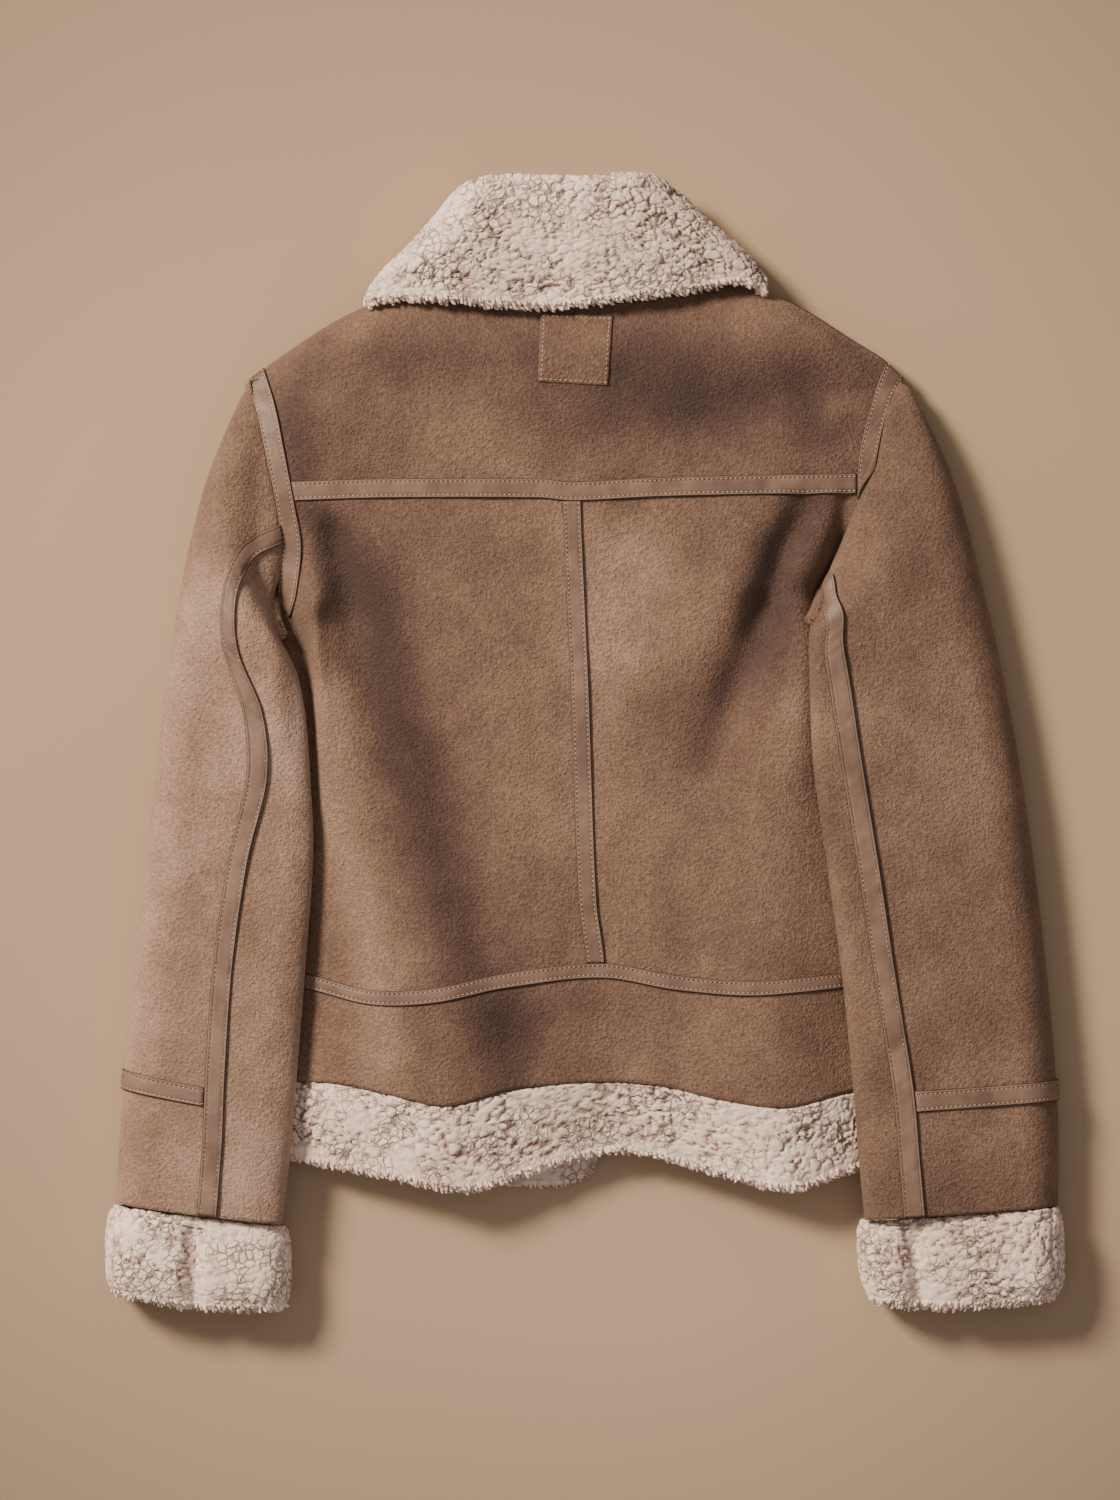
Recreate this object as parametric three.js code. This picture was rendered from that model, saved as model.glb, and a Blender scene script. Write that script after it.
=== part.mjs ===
// A cropped faux shearling aviator jacket, lying flat on its front.
//
// The frame is in millimetres: +X to the right, +Y towards the collar, +Z up from the surface
// that the jacket lies on. Each piece that a maker would cut is a closed solid of its own, made
// by wall(): a sheet of points on the cloth's outer face, and the same sheet moved inwards by
// the cloth's thickness. Neighbouring pieces stop SEAM short of each other.

import * as THREE from 'three';

// ---- driving dimensions ------------------------------------------------------------------

const SUEDE = 5.5;            // bonded suede with its pile lining
const FLEECE = 8;             // long pile of the collar and cuffs
const HEM = 7;                // the hem's pile, pressed a little flatter
const TRIM = 1.1;             // folded leather strip
const LIFT = 0.5;             // gap under a strip or patch that lies on a panel
const SEAM = 0.3;             // gap left between two pieces
const HALF = SEAM / 2;
const REST = 0;               // height of the surface below

const BODY_SIDE = 11;         // height of the side folds' middle
const BODY_TOP = 33;          // height of the back between its folds
const SLEEVE_SIDE = 14;       // height of a sleeve's outer fold
const SLEEVE_TOP = 45;        // height of a sleeve's crown
const STRIP = 13;             // width of the leather strips

const lerp = THREE.MathUtils.lerp;
const clamp = THREE.MathUtils.clamp;
const smooth = (value, from, to) => {
  const t = clamp((value - from) / (to - from), 0, 1);
  return t * t * (3 - 2 * t);
};

// A smooth curve through a short table of [key, value] rows, read by key.
function table(rows) {
  const keys = rows.map((row) => row[0]);
  const slope = rows.map((row, i) => {
    const before = rows[Math.max(i - 1, 0)];
    const after = rows[Math.min(i + 1, rows.length - 1)];
    return (after[1] - before[1]) / (after[0] - before[0]);
  });
  return (key) => {
    const k = clamp(key, keys[0], keys[keys.length - 1]);
    let i = 0;
    while (i < keys.length - 2 && k > keys[i + 1]) i += 1;
    const span = keys[i + 1] - keys[i];
    const t = (k - keys[i]) / span;
    const t2 = t * t;
    const t3 = t2 * t;
    return (2 * t3 - 3 * t2 + 1) * rows[i][1] + (t3 - 2 * t2 + t) * span * slope[i]
      + (3 * t2 - 2 * t3) * rows[i + 1][1] + (t3 - t2) * span * slope[i + 1];
  };
}

// A ridge (height > 0) or trough (height < 0) along a short route of [x, y, height, halfWidth].
function fold(route) {
  return (x, y) => {
    let best = Infinity;
    let amount = 0;
    for (let i = 0; i + 1 < route.length; i += 1) {
      const [ax, ay, ah, aw] = route[i];
      const [bx, by, bh, bw] = route[i + 1];
      const dx = bx - ax;
      const dy = by - ay;
      const t = clamp(((x - ax) * dx + (y - ay) * dy) / (dx * dx + dy * dy), 0, 1);
      const away = Math.hypot(x - ax - t * dx, y - ay - t * dy);
      const ratio = away / lerp(aw, bw, t);
      if (ratio < best) {
        best = ratio;
        amount = lerp(ah, bh, t) * Math.exp(-ratio * ratio);
      }
    }
    return amount;
  };
}

// ---- the body's seams, each a table of [x, y] or [y, x] -------------------------------------

const hemEdge = table([[-235, -276], [-199, -282], [-135, -293], [-82, -302], [-43, -292],
  [-13, -282], [29, -276], [78, -288], [138, -301], [177, -290], [215, -280]]);
const hemSeam = table([[-225, -229], [-169, -230], [-130, -238], [-94, -245], [-47, -234],
  [13, -229], [52, -232], [91, -241], [135, -246], [176, -237], [210, -230]]);
const waistLine = table([[-222, -156], [-188, -161], [-146, -171], [-104, -170], [-55, -160],
  [10, -153], [60, -161], [109, -165], [143, -163], [190, -158], [205, -156]]);
const yokeLine = table([[-207, 172], [-140, 174], [-31, 174], [-10, 172], [52, 175], [195, 178]]);
const topEdge = table([[-229, 249], [-205, 267], [-167, 291], [-126, 309], [-92, 322], [-45, 309],
  [-14, 306], [25, 309], [68, 322], [110, 314], [146, 299], [185, 274], [204, 262], [216, 250]]);
const centreBack = table([[-305, 15], [-149, 6.5], [-105, 1], [31, -4], [174, -10], [310, -12]]);
const leftEdge = table([[-310, -232], [-228, -226], [-105, -220], [0, -221], [60, -218],
  [90, -211], [111, -208.5], [131, -206], [145, -207], [170, -211], [198, -217], [224, -222.5],
  [249, -229], [272, -236]]);
const rightEdge = table([[-310, 218], [-231, 212], [-105, 204], [0, 197], [62, 188], [84, 171],
  [100, 157], [110, 160], [122, 169], [143, 178], [166, 187], [186, 194.5], [201, 197.5],
  [221, 202], [236, 207], [250, 215], [272, 224]]);
const UNDERARM = { left: 93, right: 101 };

// ---- the back's height ---------------------------------------------------------------------

const backFolds = [
  fold([[150, 158, -4, 13], [135, 136, -8, 14], [120, 95, -7, 14], [101, 34, -3, 16], [88, -20, 0, 18]]),
  fold([[140, 90, 2, 14], [138, 20, 3, 18], [130, -60, 0, 20]]),
  fold([[-172, 142, -6, 11], [-163, 102, -7, 13], [-150, 60, -4, 16], [-138, -37, 0, 18]]),
  fold([[-186, 104, 6, 11], [-180, 60, 7, 13], [-172, 0, 4, 18], [-160, -70, 0, 20]]),
  fold([[-104, -300, 9, 34], [-104, -235, 7, 38], [-108, -150, 5, 42], [-100, -40, 0, 46]]),
  fold([[134, -302, 9, 34], [132, -240, 8, 38], [118, -150, 5, 42], [100, -40, 0, 46]]),
  fold([[14, -290, -9, 30], [12, -230, -6, 34], [10, -150, -3, 36], [0, -60, 0, 40]]),
  fold([[-196, -290, -6, 22], [-194, -220, -4, 24], [-188, -140, 0, 26]]),
  fold([[196, -290, -5, 20], [190, -220, -3, 22], [182, -140, 0, 24]]),
  fold([[-120, 292, 3, 30], [-60, 250, 2, 40], [0, 215, 0, 50]]),
];

// How far along its climb from a side fold (0) to the flat of the back (1) the cloth is.
function climb(away, reach, roundness) {
  const t = clamp(away / reach, 0, 1);
  return lerp(Math.sin(t * Math.PI / 2), Math.sqrt(1 - (1 - t) ** 2), roundness);
}

// Height of the middle of a side fold: low below the underarm and at the shoulder's end.
function sideHeight(y, underarm) {
  const up = (y - underarm) / (262 - underarm);
  if (up <= 0) return BODY_SIDE;
  return BODY_SIDE + 21 * Math.sin(clamp(up, 0, 1) ** 1.1 * Math.PI) ** 0.8;
}

// The height of the cloth's outer face on the back, away from its edges.
function backDome(x, y) {
  let z = BODY_TOP + 3 * Math.cos(x / 150) - 5 * smooth(-y, 190, 300);
  for (const bend of backFolds) z += bend(x, y);
  z -= 9 * smooth(y, 262, 300) * (1 - smooth(Math.abs(x + 12), 90, 150));
  return z;
}

const atSide = (y, side) => (side < 0 ? leftEdge(y) : rightEdge(y));

// Shares of the climb at a point: from the side fold, and from the shoulder's fold.
function lift(x, y, reach) {
  const side = x < centreBack(y) ? -1 : 1;
  const underarm = side < 0 ? UNDERARM.left : UNDERARM.right;
  const away = (atSide(y, side) - x) * side;
  const open = smooth(y, underarm - 14, underarm + 10) * (1 - smooth(y, 222, 244));
  const shoulder = climb(topEdge(x) - y, reach.shoulder, 1);
  const neck = 1 - smooth(Math.abs(x + 12), 62, 92);
  return {
    side: climb(away, lerp(reach.side, reach.armhole, open), 1 - open),
    edge: sideHeight(y, underarm),
    pressed: (12 - 7 * smooth(-y, 200, 235)) * Math.exp(-((away / 48) ** 2)) * (1 - open),
    open,
    top: Math.max(shoulder, neck),
  };
}

function backHeight(x, y) {
  const { side, edge, top, pressed } = lift(x, y, { side: 15, armhole: 38, shoulder: 30 });
  const z = lerp(edge, backDome(x, y) - pressed, side);
  return Math.max(lerp(Math.min(z, BODY_SIDE), z, top), BODY_SIDE) + HALF;
}

function frontHeight(x, y) {
  const { side, open, top } = lift(x, y, { side: 12, armhole: 12, shoulder: 12 });
  const z = lerp(lerp(BODY_SIDE, REST + 1, open), REST, side);
  return lerp(BODY_SIDE, z, top) * (1 - (HALF + 0.8 * smooth(y, 220, 240)) / BODY_SIDE);
}

// ---- making closed pieces --------------------------------------------------------------------

// The outward normal of a surface(s, t) that gives [x, y, z]; s runs across, t runs along.
function normalOf(surface, s, t) {
  const step = 1e-4;
  const ds = new THREE.Vector3(...surface(s + step, t)).sub(new THREE.Vector3(...surface(s - step, t)));
  const dt = new THREE.Vector3(...surface(s, t + step)).sub(new THREE.Vector3(...surface(s, t - step)));
  return ds.cross(dt).normalize();
}

const steps = (from, to, count) => Array.from({ length: count + 1 }, (_, i) => lerp(from, to, i / count));

// A closed wall from a surface, its outer face moved out by `out` and its inner face in by `deep`.
// across and along list the surface's parameters; a loop closes on itself across.
function wall(surface, across, along, deep, out = 0, loop = false) {
  const points = [];
  const facing = Math.sign(across[1] - across[0]);
  for (const move of [out * facing, -deep * facing]) {
    for (const t of along) {
      for (const s of across) {
        const normal = normalOf(surface, s, t);
        points.push(new THREE.Vector3(...surface(s, t)).addScaledVector(normal, move));
      }
    }
  }
  const wide = across.length;
  const high = along.length;
  const inner = wide * high;
  const at = (i, j) => j * wide + (i % wide);
  const faces = [];
  const quad = (a, b, c, d) => faces.push(a, b, c, a, c, d);
  const last = loop ? wide : wide - 1;
  for (let j = 0; j + 1 < high; j += 1) {
    for (let i = 0; i < last; i += 1) {
      quad(at(i, j), at(i + 1, j), at(i + 1, j + 1), at(i, j + 1));
      quad(inner + at(i, j), inner + at(i, j + 1), inner + at(i + 1, j + 1), inner + at(i + 1, j));
    }
    if (!loop) {
      quad(at(0, j), at(0, j + 1), inner + at(0, j + 1), inner + at(0, j));
      quad(at(last, j), inner + at(last, j), inner + at(last, j + 1), at(last, j + 1));
    }
  }
  for (let i = 0; i < last; i += 1) {
    const top = high - 1;
    quad(at(i, 0), inner + at(i, 0), inner + at(i + 1, 0), at(i + 1, 0));
    quad(at(i, top), at(i + 1, top), inner + at(i + 1, top), inner + at(i, top));
  }
  const geometry = new THREE.BufferGeometry();
  geometry.setAttribute('position', new THREE.Float32BufferAttribute(points.flatMap((p) => p.toArray()), 3));
  geometry.setIndex(faces);
  geometry.computeVertexNormals();
  return geometry;
}

const jacket = new THREE.Group();
const looks = {
  suede: { color: 0x96755c, roughness: 0.95 },
  leather: { color: 0x8e705b, roughness: 0.5 },
  fleece: { color: 0xd9c5b5, roughness: 1 },
  tape: { color: 0x5a4638, roughness: 0.9 },
  metal: { color: 0x9c8a6a, roughness: 0.35, metalness: 1 },
};

function piece(name, look, geometry) {
  const mesh = new THREE.Mesh(geometry, new THREE.MeshStandardMaterial(looks[look]));
  mesh.name = name;
  jacket.add(mesh);
  return mesh;
}

const SETTLE = 16;            // rounds in which a point's x and y settle on their curves

// ---- the body -------------------------------------------------------------------------------

const ROWS = [hemEdge, hemSeam, waistLine, yokeLine, topEdge];

// A point of the body: u from -1 (left side) to 1 (right side), v counts ROWS from the hem.
function bodyPlan(u, v, half, gap = HALF) {
  const k = clamp(Math.floor(v), 0, ROWS.length - 2);
  const t = v - k;
  let x = 200 * u;
  let y = 0;
  for (let turn = 0; turn < SETTLE; turn += 1) {
    const low = ROWS[k](x) + (k > 0 ? gap : 0);
    const high = ROWS[k + 1](x) - (k < 3 ? gap : 0);
    y = lerp(low, high, t);
    const middle = centreBack(y) + half * gap;
    const side = half || Math.sign(u);
    x = middle + (atSide(y, side) - middle) * Math.sin(Math.min(u * side, 1) * Math.PI / 2);
  }
  return [x, y];
}

// Surface of one row of the back; half is -1 or 1 for a piece that stops at the centre back.
const backSurface = (row, half = 0) => (u, t) => {
  const [x, y] = bodyPlan(u, clamp(row + t, row, row + 0.99999), half);
  return [x, y, backHeight(x, y)];
};

// Surface of the fronts, the same plan turned over; they stop half a zip's width from the middle.
const ZIP_GAP = 6;
const frontNeck = table([[-92, 320], [-60, 285], [-12, 262], [36, 285], [68, 320]]);
const frontTop = (x) => {
  const open = 1 - smooth(Math.abs(x + 12), 60, 82);
  const shoulder = topEdge(x) - 1 - 4 * smooth(Math.abs(x + 8), 185, 210);
  return lerp(shoulder, Math.min(frontNeck(x), shoulder), open);
};

const frontSurface = (from, to, side) => (u, t) => {
  const k = clamp(t, 0, 1);
  let x = 200 * u;
  let y = 0;
  for (let turn = 0; turn < SETTLE; turn += 1) {
    const low = from === 0 ? frontHem(x) : ROWS[1](x) + HALF;
    const high = to === 1 ? ROWS[1](x) - HALF : frontTop(x);
    y = lerp(low, high, k);
    const middle = centreBack(y) + side * ZIP_GAP;
    x = middle + (atSide(y, side) - middle) * Math.sin(Math.min(u * side, 1) * Math.PI / 2);
  }
  return [x, y, frontHeight(x, y)];
};
const frontHem = table([[-235, -274], [-199, -280], [-135, -291], [-82, -299], [-40, -300], [-12, -299],
  [0, -293], [8, -284], [29, -274], [78, -285], [138, -297], [177, -287], [215, -278]]);

const BACK_ROWS = [0, 0.08, 0.17, 0.27, 0.37, 0.47, 0.57, 0.66, 0.72, 0.76, 0.79, 0.82, 0.86, 0.9, 0.95, 1];
const TO_FOLD = [0, 0.14, 0.3, 0.46, 0.62, 0.76, 0.87, 0.945, 0.985, 1];
const FRONT_ROWS = [0, 0.12, 0.24, 0.36, 0.48, 0.57, 0.63, 0.66, 0.685, 0.71, 0.75, 0.81, 0.87, 0.93, 0.965, 0.99, 1];
const ACROSS = steps(-1, 1, 24);
const LEFT_HALF = steps(-1, 0, 12);
const RIGHT_HALF = steps(0, 1, 12);

piece('back_yoke', 'suede', wall(backSurface(3), ACROSS, TO_FOLD, SUEDE));
piece('back_left', 'suede', wall(backSurface(2, -1), LEFT_HALF, BACK_ROWS, SUEDE));
piece('back_right', 'suede', wall(backSurface(2, 1), RIGHT_HALF, BACK_ROWS, SUEDE));
piece('back_waist', 'suede', wall(backSurface(1), ACROSS, steps(0, 1, 4), SUEDE));
piece('hem_back', 'fleece', wall(backSurface(0), ACROSS, steps(0, 1, 4), HEM));
for (const side of [-1, 1]) {
  const name = side < 0 ? 'left' : 'right';
  const run = side < 0 ? steps(0, -1, 11) : steps(1, 0, 11);
  piece(`front_${name}`, 'suede', wall(frontSurface(1, 4, side), run, FRONT_ROWS, SUEDE));
  piece(`hem_front_${name}`, 'fleece', wall(frontSurface(0, 1, side), run, steps(0, 1, 4), HEM));
}

// ---- the sleeves ------------------------------------------------------------------------------

// Sections of a sleeve from the armhole (row 0) to the cuff: the outer fold's point, the inner
// fold's point, and where between them (0 outer, 1 inner) the seam strip crosses.
const SLEEVES = {
  left: {
    side: -1,
    rows: [
      [-229, 249, -210.5, 92, 0.66], [-243, 218, -206.5, 80, 0.59], [-257, 182, -205, 70, 0.54],
      [-268, 141, -200, 60, 0.5], [-277, 95, -194, 45, 0.52], [-285, 40, -189, 18, 0.68],
      [-292, -20, -186, -22, 0.71], [-299, -85, -184, -75, 0.61], [-306, -150, -189, -146, 0.575],
      [-313, -217, -195, -222, 0.585], [-316.5, -262, -199, -270, 0.6], [-319.5, -311, -205, -325, 0.607],
    ],
  },
  right: {
    side: 1,
    rows: [
      [216, 250, 157, 100, 0.87], [228, 228, 153, 91, 0.85], [243, 197, 151, 81, 0.87],
      [255, 163, 150, 71, 0.86], [266, 121, 150, 58, 0.88], [280, 62, 150.5, 34, 0.865],
      [293, -5, 153, -14, 0.84], [304, -80, 163, -86, 0.83], [313, -156, 173, -161, 0.82],
      [319, -224, 180, -233, 0.79], [321, -270, 184, -280, 0.785], [320.5, -313, 188, -322, 0.78],
    ],
  },
};

const SLEEVE_ROWS = 11;
const CLEAR = 3.1;            // the sleeve's underside above the body's side
const TIP = 4.6;              // how far the sleeve's head stands off at the shoulder's tip

// Share of TIP at a place from the outer fold (0) to the inner fold (1).
const tipShare = (w) => 1 - smooth(w, 0.04, 0.2);

function sleeveMaker({ side, rows }) {
  const columns = [0, 1, 2, 3, 4].map((c) => table(rows.map((row, i) => [i, row[c]])));
  const underarm = side < 0 ? UNDERARM.left : UNDERARM.right;
  const armX = side < 0 ? leftEdge : rightEdge;

  // w runs 0..1 from the outer fold to the inner fold; row counts the sections.
  function plan(w, row) {
    const x = lerp(columns[0](row), columns[2](row), w);
    const y = lerp(columns[1](row), columns[3](row), w) - TIP * tipShare(w) * (1 - smooth(row, 0, 1));
    const bend = 1 - smooth(row, 0, 1.6);
    const seam = SEAM + 0.9 + 4.2 * smooth(w, 0.82, 0.96) + TIP * tipShare(w);
    const drift = 6 * Math.min(row, 1) * Math.sin(Math.PI * w);
    return [lerp(x, armX(y), bend) + side * (lerp(seam, 1, smooth(row, 0, 3)) + drift), y];
  }

  const spread = (row) => Math.hypot(
    columns[0](row) - columns[2](row), columns[1](row) - columns[3](row));

  // Height of the inner fold's middle, clear of the body that it lies on.
  function innerMiddle(row) {
    const [x, y] = plan(1, row);
    const over = (atSide(y, side) - x) * side > -4 ? backHeight(x, y) + CLEAR + 5.5 : 0;
    return Math.max(lerp(25, 30, smooth(row, 0, 2)), over);
  }

  // The inner fold's round: as far across as keeps its radius above the cloth's thickness.
  function innerFold(row, away, flat) {
    const middle = innerMiddle(row);
    const reach = clamp((flat - middle) ** 2 / 6.5, 6, 22);
    return lerp(middle, flat, climb(away, reach, 1));
  }

  function top(w, row) {
    const [x, y] = plan(w, row);
    const wide = spread(row);
    const outer = climb(w * wide, 30, 1);
    let crown = lerp(SLEEVE_TOP - 5, SLEEVE_TOP + 1, smooth(w, 0.15, 0.8));
    for (const bend of sleeveFolds) crown += bend(x, y);
    const z = innerFold(row, (1 - w) * wide, lerp(SLEEVE_SIDE, crown, outer));
    const joined = Math.sin(clamp(row / 3.2, 0, 1) * Math.PI / 2);
    const seam = Math.max(sideHeight(y, underarm) + HALF, 25 * smooth(w, 0.82, 1));
    return lerp(seam, z, joined);
  }

  function bottom(w, row) {
    const [x, y] = plan(w, row);
    const wide = spread(row);
    const outer = climb(w * wide, 16, 1);
    const inside = (atSide(y, side) - x) * side;
    const below = 1 - smooth(y, underarm - 4, underarm + 18);
    const over = inside > 0 && y < underarm + 6 ? backHeight(x, y) + CLEAR : 0;
    const strip = (TRIM + 2 * LIFT) * (1 - smooth(Math.abs(row - FOREARM - 0.1), 0.2, 0.7));
    const rest = Math.max(24 * below * smooth(inside, -20, 3), over, strip);
    const z = innerFold(row, (1 - w) * wide, lerp(SLEEVE_SIDE, rest, outer));
    const joined = Math.sin(clamp(row / 1.6, 0, 1) * Math.PI / 2);
    const seam = Math.max(frontHeight(armX(y), y), 25 * smooth(w, 0.82, 1));
    return Math.max(lerp(seam, z, joined), over);
  }

  // turn runs 0..1 round the sleeve: outer fold, over the top, inner fold, back below.
  return function surface(turn, row) {
    const angle = 2 * Math.PI * turn;
    const w = (1 - Math.cos(angle)) / 2;
    const [x, y] = plan(w, row);
    const onTop = Math.sin(angle) >= 0;
    return [x, y, onTop ? top(w, row) : bottom(w, row)];
  };
}

const sleeveFolds = [
  fold([[-227, 206, 2, 15], [-237, 150, 3.5, 17], [-240, 110, 4, 18], [-233, 71, 5, 15],
    [-218, 30, 3, 15], [-212, -30, 0, 16]]),
  fold([[-224, 116, -7, 9], [-212, 98, -9, 10], [-204, 80, -4, 11]]),
];

// The sleeve's seams: the strip's seam on top at the table's fifth column, the other below.
const FRONT_SEAM = 0.4;
const FOREARM = 9.2;
const ROW_LENGTH = 65;        // a row's length between the elbow and the forearm
const FOREARM_ROW = 48;       // a row's length at the forearm strip
const turnAt = (w) => Math.acos(1 - 2 * w) / (2 * Math.PI);
const frontSeamTurn = turnAt(FRONT_SEAM);

// Sleeve rows slide near the forearm seam, which slants a little across the sleeve.
function slanted(row, w, slant) {
  const share = row < FOREARM ? clamp((row - 8) / (FOREARM - 8), 0, 1)
    : clamp((SLEEVE_ROWS - row) / (SLEEVE_ROWS - FOREARM), 0, 1);
  return row + slant * w * share;
}

const DOWN = [0, 0.25, 0.5, 0.8, 1.15, 1.6, 2.1, ...steps(2.6, 8.4, 9)];
const ROW_GAP = HALF / ROW_LENGTH;

for (const [name, sleeve] of Object.entries(SLEEVES)) {
  const surface = sleeveMaker(sleeve);
  const order = (list) => (sleeve.side > 0 ? list : [...list].reverse());
  const seamW = table(sleeve.rows.map((row, i) => [i, row[4]]));
  const wide = (row) => Math.hypot(
    ...[0, 1].map((c) => table(sleeve.rows.map((r, i) => [i, r[c] - r[c + 2]]))(row)));
  const perTurn = (row, w) => Math.PI * wide(row) * Math.sin(2 * Math.PI * turnAt(w));
  const stripTurn = (row, offset) => turnAt(seamW(row)) + offset / perTurn(row, seamW(row));
  const foreTurn = (row, offset) => frontSeamTurn + offset / perTurn(row, FRONT_SEAM);
  const slant = sleeve.side < 0 ? 0.35 : 0;
  const outer = (s, row) => {
    const turn = lerp(-foreTurn(row, -3 * SEAM), stripTurn(row, -2.4 * SEAM), s);
    return surface(turn, slanted(row, (1 - Math.cos(2 * Math.PI * turn)) / 2, slant));
  };
  const under = (s, row) => surface(lerp(stripTurn(row, 2 * SEAM), 1 - foreTurn(row, 2 * SEAM), s), row);
  const upper = [...DOWN, FOREARM - ROW_GAP];
  const lower = [FOREARM + ROW_GAP, 9.8, 10.4, SLEEVE_ROWS];
  piece(`sleeve_${name}_outer`, 'suede', wall(outer, order(steps(0, 1, 16)), upper, SUEDE));
  piece(`sleeve_${name}_forearm`, 'suede', wall(outer, order(steps(0, 1, 16)), lower, SUEDE));
  piece(`sleeve_${name}_under`, 'suede',
    wall(under, order(steps(0, 1, 12)), [...DOWN, FOREARM, 9.8, 10.4, SLEEVE_ROWS], SUEDE));

  const onSeam = (s, row) => surface(stripTurn(row, s * STRIP / 2), row);
  piece(`sleeve_strip_${name}`, 'leather', wall(onSeam, order(steps(-1, 1, 2)),
    [...DOWN.slice(sleeve.side < 0 ? 1 : 4), FOREARM, 9.8, 10.4, SLEEVE_ROWS - 0.02],
    -2 * LIFT, 2 * LIFT + TRIM));
  const rowsWide = STRIP / 2 / FOREARM_ROW;
  const onForearm = (s, row) => {
    const turn = lerp(-foreTurn(row, -HALF), stripTurn(row, -STRIP / 2 - SEAM), s);
    return surface(turn, slanted(row, (1 - Math.cos(2 * Math.PI * turn)) / 2, slant));
  };
  piece(`forearm_strip_${name}`, 'leather', wall(onForearm, order(steps(0, 1, 16)),
    [FOREARM - rowsWide, FOREARM, FOREARM + rowsWide], -LIFT, LIFT + TRIM));
}

// ---- the cuffs ----------------------------------------------------------------------------------

// Sections of a cuff from its seam to its mouth: outer x, y, inner x, y, height and puff.
const CUFFS = {
  left: [[-320.5, -312.2, -205, -326.6, 39], [-325, -322, -201.5, -336, 42], [-327, -343, -200.5, -354, 43],
    [-326.5, -362, -201, -371, 41], [-321, -374, -206, -385, 36]],
  right: [[321.5, -313.6, 187.5, -322.6, 39], [324, -324, 184.5, -333, 42], [325.5, -345, 185.5, -350, 43],
    [325, -364, 188.5, -366, 41], [319, -378, 196, -381, 36]],
};

for (const [name, rows] of Object.entries(CUFFS)) {
  const side = name === 'left' ? -1 : 1;
  const columns = [0, 1, 2, 3, 4].map((c) => table(rows.map((row, i) => [i, row[c]])));
  const groove = side < 0 ? 0.48 : 0.73;
  const tube = (turn, row) => {
    const angle = 2 * Math.PI * turn;
    const w = (1 - Math.cos(angle)) / 2;
    const wide = columns[2](row) - columns[0](row);
    const x = lerp(columns[0](row), columns[2](row), w);
    const y = lerp(columns[1](row), columns[3](row), w) - 4 * Math.sin(Math.PI * w) * (row / 4);
    const edge = climb(Math.min(w, 1 - w) * Math.abs(wide), 24, 1);
    const middle = 17;
    const dent = 5 * Math.exp(-(((w - groove) / 0.06) ** 2)) * smooth(row, 0, 1.5);
    const high = lerp(middle, columns[4](row) - dent, edge);
    const low = lerp(middle, 1.5 * (1 - smooth(row, 0, 1)) + REST, climb(Math.min(w, 1 - w) * Math.abs(wide), 15, 1));
    return [x, y, Math.sin(angle) >= 0 ? high : low];
  };
  const turns = steps(0, 1, 24);
  const order = side > 0 ? turns : [...turns].reverse();
  piece(`cuff_${name}`, 'fleece', wall(tube, order.slice(0, -1), [0, 0.5, 1, 1.7, 2.4, 3, 3.5, 4],
    FLEECE, 0, true));
}

// ---- strips and patch on the back ---------------------------------------------------------------

const onBack = (plan) => (s, t) => {
  const [x, y] = plan(s, t);
  return [x, y, backHeight(x, y)];
};
const trim = (name, plan, across, along) => piece(name, 'leather',
  wall(onBack(plan), across, along, -LIFT, LIFT + TRIM));

const armInner = {
  left: table([[98, -197], [113, -194.5], [137, -193], [160, -197], [202, -205], [225, -209.5], [246, -216]]),
  right: table([[166, 184.5], [182, 184], [201, 186], [219, 190], [244, 197.5], [250, 200]]),
};
const ARM_ENDS = { left: [238, 105], right: [242, 167] };
for (const [name, [from, to]] of Object.entries(ARM_ENDS)) {
  const side = name === 'left' ? -1 : 1;
  trim(`armhole_strip_${name}`, (s, t) => {
    const y = lerp(to, from, t);
    return [lerp(atSide(y, side) - side * 0.8, armInner[name](y), side < 0 ? s : 1 - s), y];
  }, [0, 0.5, 1], steps(0, 1, 20));
}
trim('yoke_strip', (s, t) => {
  const off = lerp(-STRIP / 2, STRIP / 2, t);
  const low = armInner.left(yokeLine(-198) + off) + 2 * SEAM;
  const high = armInner.right(yokeLine(184) + off) - 2 * SEAM;
  const x = lerp(low, high, s);
  return [x, yokeLine(x) + off];
}, steps(0, 1, 28), [0, 0.5, 1]);
trim('centre_back_strip', (s, t) => {
  const y = lerp(waistLine(6) + 5.4, yokeLine(-10) - 6.5 - SEAM, t);
  return [centreBack(y) + lerp(-6.2, 6.2, s), y];
}, [0, 0.5, 1], steps(0, 1, 16));
trim('waist_strip', (s, t) => {
  const u = lerp(-0.93, 0.93, s);
  const x = centreBack(-160) + (atSide(-160, Math.sign(u)) - centreBack(-160)) * Math.sin(Math.abs(u) * Math.PI / 2);
  return [x, waistLine(x) + lerp(-5, 5, t)];
}, steps(0, 1, 34), [0, 0.5, 1]);
piece('neck_patch', 'suede', wall(onBack((s, t) => [
  lerp(lerp(-32.6, 14.8, s), lerp(-30.8, 18.2, s), t),
  lerp(lerp(246.2, 243.6, s), lerp(293.1, 291.3, s), t),
]), steps(0, 1, 5), steps(0, 1, 5), -LIFT, LIFT + TRIM));

// ---- the collar -----------------------------------------------------------------------------------

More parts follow.
